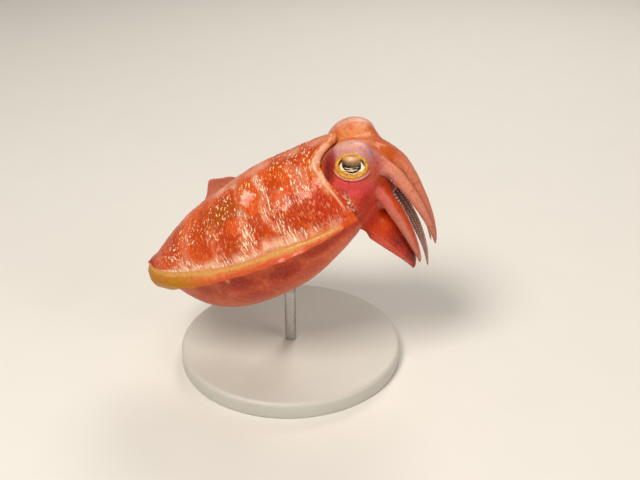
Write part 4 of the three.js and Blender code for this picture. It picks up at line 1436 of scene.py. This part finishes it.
def make_skin():
    """The one skin of mantle, fins, head, funnel and arms"""
    source = joined_head()
    head_points = make_head(source)
    head_faces = [tuple(face.vertices) for face in source.polygons]
    head_tree = BVHTree.FromPolygons([tuple(p) for p in head_points], head_faces)
    normals = normals_of(source)
    # Painted shade for the head: darker where the skin lies in a crease under its smoothed surroundings
    head_crease = step(0.06, 0.3, hollow(head_points, neighbours(source), normals, CREASE_SHADE_ROUNDS))
    bpy.data.meshes.remove(source)
    facts = nearest_source(head_points)
    wrinkle = lattice_noise(head_points * (0.8, 1, 1), 1.3, SEED + 8)
    head_points = head_points + normals * (WRINKLE_HEIGHT * wrinkle)[:, None]
    points, faces, tags, inside = make_body(head_tree)
    b = BodyPlaces(tags)
    colour, fleck, streak, spots, thin = body_tint(b)
    head_colour, head_spots = head_tint(head_points, facts)
    nothing = np.zeros(len(head_points))
    base = len(points)
    faces += [[base + i for i in face] for face in head_faces]
    skin = mesh_object("skin", to_row(np.concatenate([points, head_points])), faces)
    mesh = skin.data
    # Folds across the mantle's back
    folds = lattice_noise(b.flat * (1, 0.28, 1), 1.7, SEED + 6) * FOLD_HEIGHT
    folds = folds + lattice_noise(b.flat, 0.9, SEED + 7) * FINE_FOLD_HEIGHT
    folds = folds * step(0.05, 0.0, b.out) * step(0, 4, b.along) * (1 - 0.6 * step(92, 96, b.off))
    shift = np.concatenate([folds * (1 - inside), nothing])
    set_points(mesh, mesh_points(mesh) + normals_of(mesh) * (shift * MM)[:, None])
    attributes = {
        "skin_tint": (colour, head_colour),
        "lie": (b.flat, head_points + HEAD_LIE_SHIFT),
        "fleck": (fleck, nothing),
        "streak": (streak, nothing),
        "spots": (spots, head_spots),
        "thin": (thin, nothing),
        "crease": (inside * 0.9, head_crease),
    # Painted shade: inside the collar and in the head's creases
    }
    for name, values in attributes.items():
        set_attribute(mesh, name, np.concatenate(values))
    weld(mesh)
    mesh.materials.append(skin_material())
    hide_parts(*[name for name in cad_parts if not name.startswith(("stand_", "eye_"))])
    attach(skin, "root")


def limb_share(along, up, low, high):
    """How much of the pupil's upright limb from low to high covers each place on the eyeball"""
    low, high = np.array(low), np.array(high)
    run = high - low
    part = np.clip(((along - low[0]) * run[0] + (up - low[1]) * run[1]) / (run @ run), 0, 1)
    away = np.hypot(along - low[0] - part * run[0], up - low[1] - part * run[1])
    return step(0.72, 0.44, away)


def eye_tone(along, up):
    """Colours of an eyeball from places on it: along towards the arms and up, in millimetres"""
    count = len(along)
    reach = np.hypot(along / EYE_RING[0], up / EYE_RING[1])
    grain = lattice_noise(np.stack([along * 3, up * 3, 0 * up], -1), 1.0, SEED + 9)
    # The band of gold under the pupil, and the dark gold over the flap
    band = step(-1.5, -1.8, up) * step(4.2, 3.0, abs(along))
    colour = lay(
        plain("iris", count),
        ("iris_edge", 0.6 * step(0.74, 0.84, reach + 0.05 * grain)),
        ("iris_gold", band * (0.75 + 0.4 * grain)),
        ("iris_line", 0.7 * band * bell(up, -2.2, 0.22) * step(2.6, 1.2, abs(along))),
        ("iris_dark", 0.8 * step(2.0, 2.7, up + 0.3 * grain)),
    )
    for low, high in PUPIL_LIMBS:
        colour = mix(colour, TONE["limb"], limb_share(along, up, low, high))
    # The pupil's curved bottom under the flap, with painted highlight lines
    lower = FLAP_LOW + 0.1 * along**2 - 0.06 * along
    deepest = lower - (1.75 - 0.1 * along**2)
    slit = step(3.1, 2.8, abs(along)) * step(deepest - 0.1, deepest + 0.1, up) * step(lower + 0.6, lower, up)
    colour = mix(colour, TONE["slit"], slit)
    # Painted highlight lines across the pupil's dark bottom
    for place, start, end in PUPIL_GLINTS:
        centre = place + FLAP_LOW + 0.45 + 0.05 * along**2
        line = step(0.13, 0.06, abs(up - centre)) * step(start - 0.2, start + 0.2, along)
        colour = mix(colour, TONE["pupil_glint"], line * step(end + 0.2, end - 0.2, along))
    # The flap that hangs over the pupil from above
    flap = step(lower - 0.08, lower + 0.08, up) * step(3.1, 2.9, abs(along + 0.12 * up)) * step(3.1, 2.7, up)
    tone = lay(
        plain("flap_black", count),
        ("flap_brown", step(lower, lower + 0.8, up)),
        ("flap_tan", step(lower + 0.6, lower + 1.5, up)),
        ("flap_rim", step(lower + 1.4, lower + 2.6, up - 0.12 * along)),
    )
    return mix(colour, tone, flap * (0.95 + 0.05 * grain)), flap, slit


def make_eyes():
    """The two eyeballs, each with a flap over a dark pupil"""
    m = Material("eye")
    material = m.finish(
        Base_Color=m.attribute("eye_tint", "Color"),
        Roughness=0.42,
        Specular_IOR_Level=0.3,
        Coat_Weight=0.15,
        Coat_Roughness=0.1,
    )
    rings, columns = EYE_MESH
    for side, name in ((1, "eye_left"), (-1, "eye_right")):
        centre, level, upright, look = eye_axes(side)
        reach = np.linspace(0, math.pi * 0.62, rings)[1:, None]
        turn = circle(columns)[None, :]
        along = EYE_RADII[0] * np.sin(reach) * np.cos(turn)
        up = EYE_RADII[1] * np.sin(reach) * np.sin(turn)
        colour, flap, slit = eye_tone(along.ravel(), up.ravel())
        relief = (EYE_RELIEF * flap - EYE_RELIEF * slit * (1 - flap)).reshape(along.shape)
        out = EYE_DEPTH + EYE_RADII[2] * np.cos(reach) + relief
        cloud = centre + along[..., None] * level + up[..., None] * upright + out[..., None] * look
        apex = centre + (EYE_DEPTH + EYE_RADII[2] + EYE_RELIEF) * look
        back = centre + (EYE_DEPTH - 2.0) * look
        points, faces = loft_mesh(cloud, apex, back)
        if side == -1:
            faces = [f[::-1] for f in faces]
        piece = mesh_object(name + "_ball", to_row(points), faces)
        set_attribute(piece.data, "eye_tint", np.concatenate([colour, colour[:1], colour[-1:]]))
        piece.data.materials.append(material)
        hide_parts(name)
        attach(piece, "root")


def sucker_cups():
    """Places, directions and sizes of the suckers on every arm"""
    made = []
    for arm in ARMS:
        share = np.linspace(*SUCKER_SPAN, 400)
        centre, _, oral, across, half_width, half_height, _ = arm_frame(arm, share)
        flat = oral_flatness(arm, share)
        length = np.concatenate([[0], np.cumsum(np.linalg.norm(np.diff(centre, axis=0), axis=1))])
        at = 0.0
        count = 0
        while at < length[-1]:
            i = int(np.searchsorted(length, at))
            width = half_width[i]
            radius = max(SUCKER_RADIUS * width, SUCKER_LEAST_RADIUS)
            for row in SUCKER_ROWS[count % 2 :: 2]:
                drop = math.sqrt(1 - row * row)
                foot = centre[i] + across[i] * row * width + oral[i] * flat[i] * half_height[i] * drop
                facing = oral[i] * drop + across[i] * row * 0.8
                made.append((foot, facing / np.linalg.norm(facing), radius))
            at += max(SUCKER_SPACING * radius, SUCKER_LEAST_SPACING)
            count += 1
    return made


def make_suckers():
    """All suckers as one piece: short stalked cups with a rolled rim"""
    angle = circle(SUCKER_SIDES)
    points, faces = [], []
    draw = np.random.default_rng(SEED + 5)
    for foot, facing, radius in sucker_cups():
        radius *= draw.uniform(0.9, 1.1)
        first = np.cross(facing, [0.3, 0.5, 0.8])
        first /= np.linalg.norm(first)
        second = np.cross(facing, first)
        ring = np.cos(angle)[:, None] * first + np.sin(angle)[:, None] * second
        rings = np.array([foot + facing * radius * h + ring * radius * r for r, h in SUCKER_PROFILE])
        start = len(points)
        cup, cup_faces = loft_mesh(rings, rings[0].mean(0), rings[-1].mean(0))
        points.extend(cup)
        faces += [[i + start for i in f] for f in cup_faces]
    piece = mesh_object("suckers", to_row(np.array(points)), faces)
    m = Material("sucker")
    lie = m.node("TexCoord").outputs["Object"]
    material = m.finish(
        Base_Color=m.mix(m.noise(lie, 900.0), TONE["sucker_dark"], TONE["sucker_light"]),
        Roughness=0.4,
        Subsurface_Weight=0.2,
        Subsurface_Radius=(0.002, 0.0008, 0.0005),
        Subsurface_Scale=1.0,
        Coat_Weight=0.3,
    )
    piece.data.materials.append(material)
    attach(piece, "root")


def lathe(name, profile, sides):
    """A closed turned piece about the stand's axis, from (radius, height) in millimetres"""
    angle = circle(sides)
    rings = [np.stack([r * np.cos(angle), r * np.sin(angle), np.full(sides, h)], -1) for r, h in profile]
    low, high = np.array([0, 0, profile[0][1]]), np.array([0, 0, profile[-1][1]])
    points, faces = loft_mesh(np.array(rings), low, high)
    return mesh_object(name, points * MM, faces)


def make_stand():
    """A painted base with a rolled edge. The brushed steel rod is the solid itself."""
    profile = list(BASE_FOOT)
    for bend in np.linspace(0, math.pi / 2, 10):
        inwards, down = BASE_EDGE * (1 - math.cos(bend)), BASE_EDGE * (1 - math.sin(bend))
        profile.append((BASE_RADIUS - inwards, BASE_HEIGHT - down))
    profile += [(radius, BASE_HEIGHT) for radius in BASE_TOP_RADII]
    base = lathe("base", profile, 160)
    m = Material("stand_paint")
    place = m.node("TexCoord").outputs["Object"]
    grain = m.noise(place, 1800.0, 2.0)
    paint = m.finish(
        Base_Color=m.mix(m.noise(place, 60.0, 3.0), TONE["paint_dark"], TONE["paint_light"]),
        Roughness=m.steps(grain, 0.3, 0.7, 0.42, 0.55),
        Normal=m.bump(grain, 0.00004, 0.6),
    )
    base.data.materials.append(paint)
    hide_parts("stand_base")
    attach(base, "root")
    steel = Material("brushed_steel")
    place = steel.node("TexCoord").outputs["Object"]
    brushed = steel.noise(steel.scaled(place, (300.0, 300.0, 9000.0)), 1.0, 2.0)
    made = steel.finish(
        Base_Color=steel.mix(brushed, (0.42, 0.42, 0.41), (0.6, 0.6, 0.59)),
        Metallic=1.0,
        Roughness=steel.steps(brushed, 0.3, 0.7, 0.26, 0.4),
        Normal=steel.bump(brushed, 0.00002, 0.5),
    )
    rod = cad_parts["stand_rod"]
    rod.data.materials.clear()
    rod.data.materials.append(made)


def make_stage():
    """A pale floor and soft lamps"""
    corners = [(x * FLOOR_HALF, y * FLOOR_HALF, 0) for x, y in ((-1, -1), (1, -1), (1, 1), (-1, 1))]
    floor = mesh_object("floor", corners, [(0, 1, 2, 3)], False)
    m = Material("floor")
    place = m.node("TexCoord").outputs["Object"]
    colour = m.mix(m.noise(place, 40.0), TONE["floor_dark"], TONE["floor_light"])
    floor.data.materials.append(m.finish(Base_Color=colour, Roughness=0.7))
    for name, place, size, power in LAMPS:
        data = bpy.data.lights.new(name, "AREA")
        data.shape = "DISK"
        data.size = size
        data.energy = power
        data.color = LAMP_COLOUR
        lamp = bpy.data.objects.new(name, data)
        lamp.location = place
        aim = Vector(LAMP_AIM) - Vector(place)
        lamp.rotation_euler = aim.to_track_quat("-Z", "Y").to_euler()
        bpy.context.scene.collection.objects.link(lamp)
    world = bpy.data.worlds.new("world")
    world.use_nodes = True
    sky = world.node_tree.nodes["Background"]
    sky.inputs["Color"].default_value = WORLD_COLOUR
    sky.inputs["Strength"].default_value = WORLD_STRENGTH
    bpy.context.scene.world = world
    bpy.context.scene.view_settings.view_transform = "Standard"


make_camera()
make_skin()
make_eyes()
make_suckers()
make_stand()
make_stage()
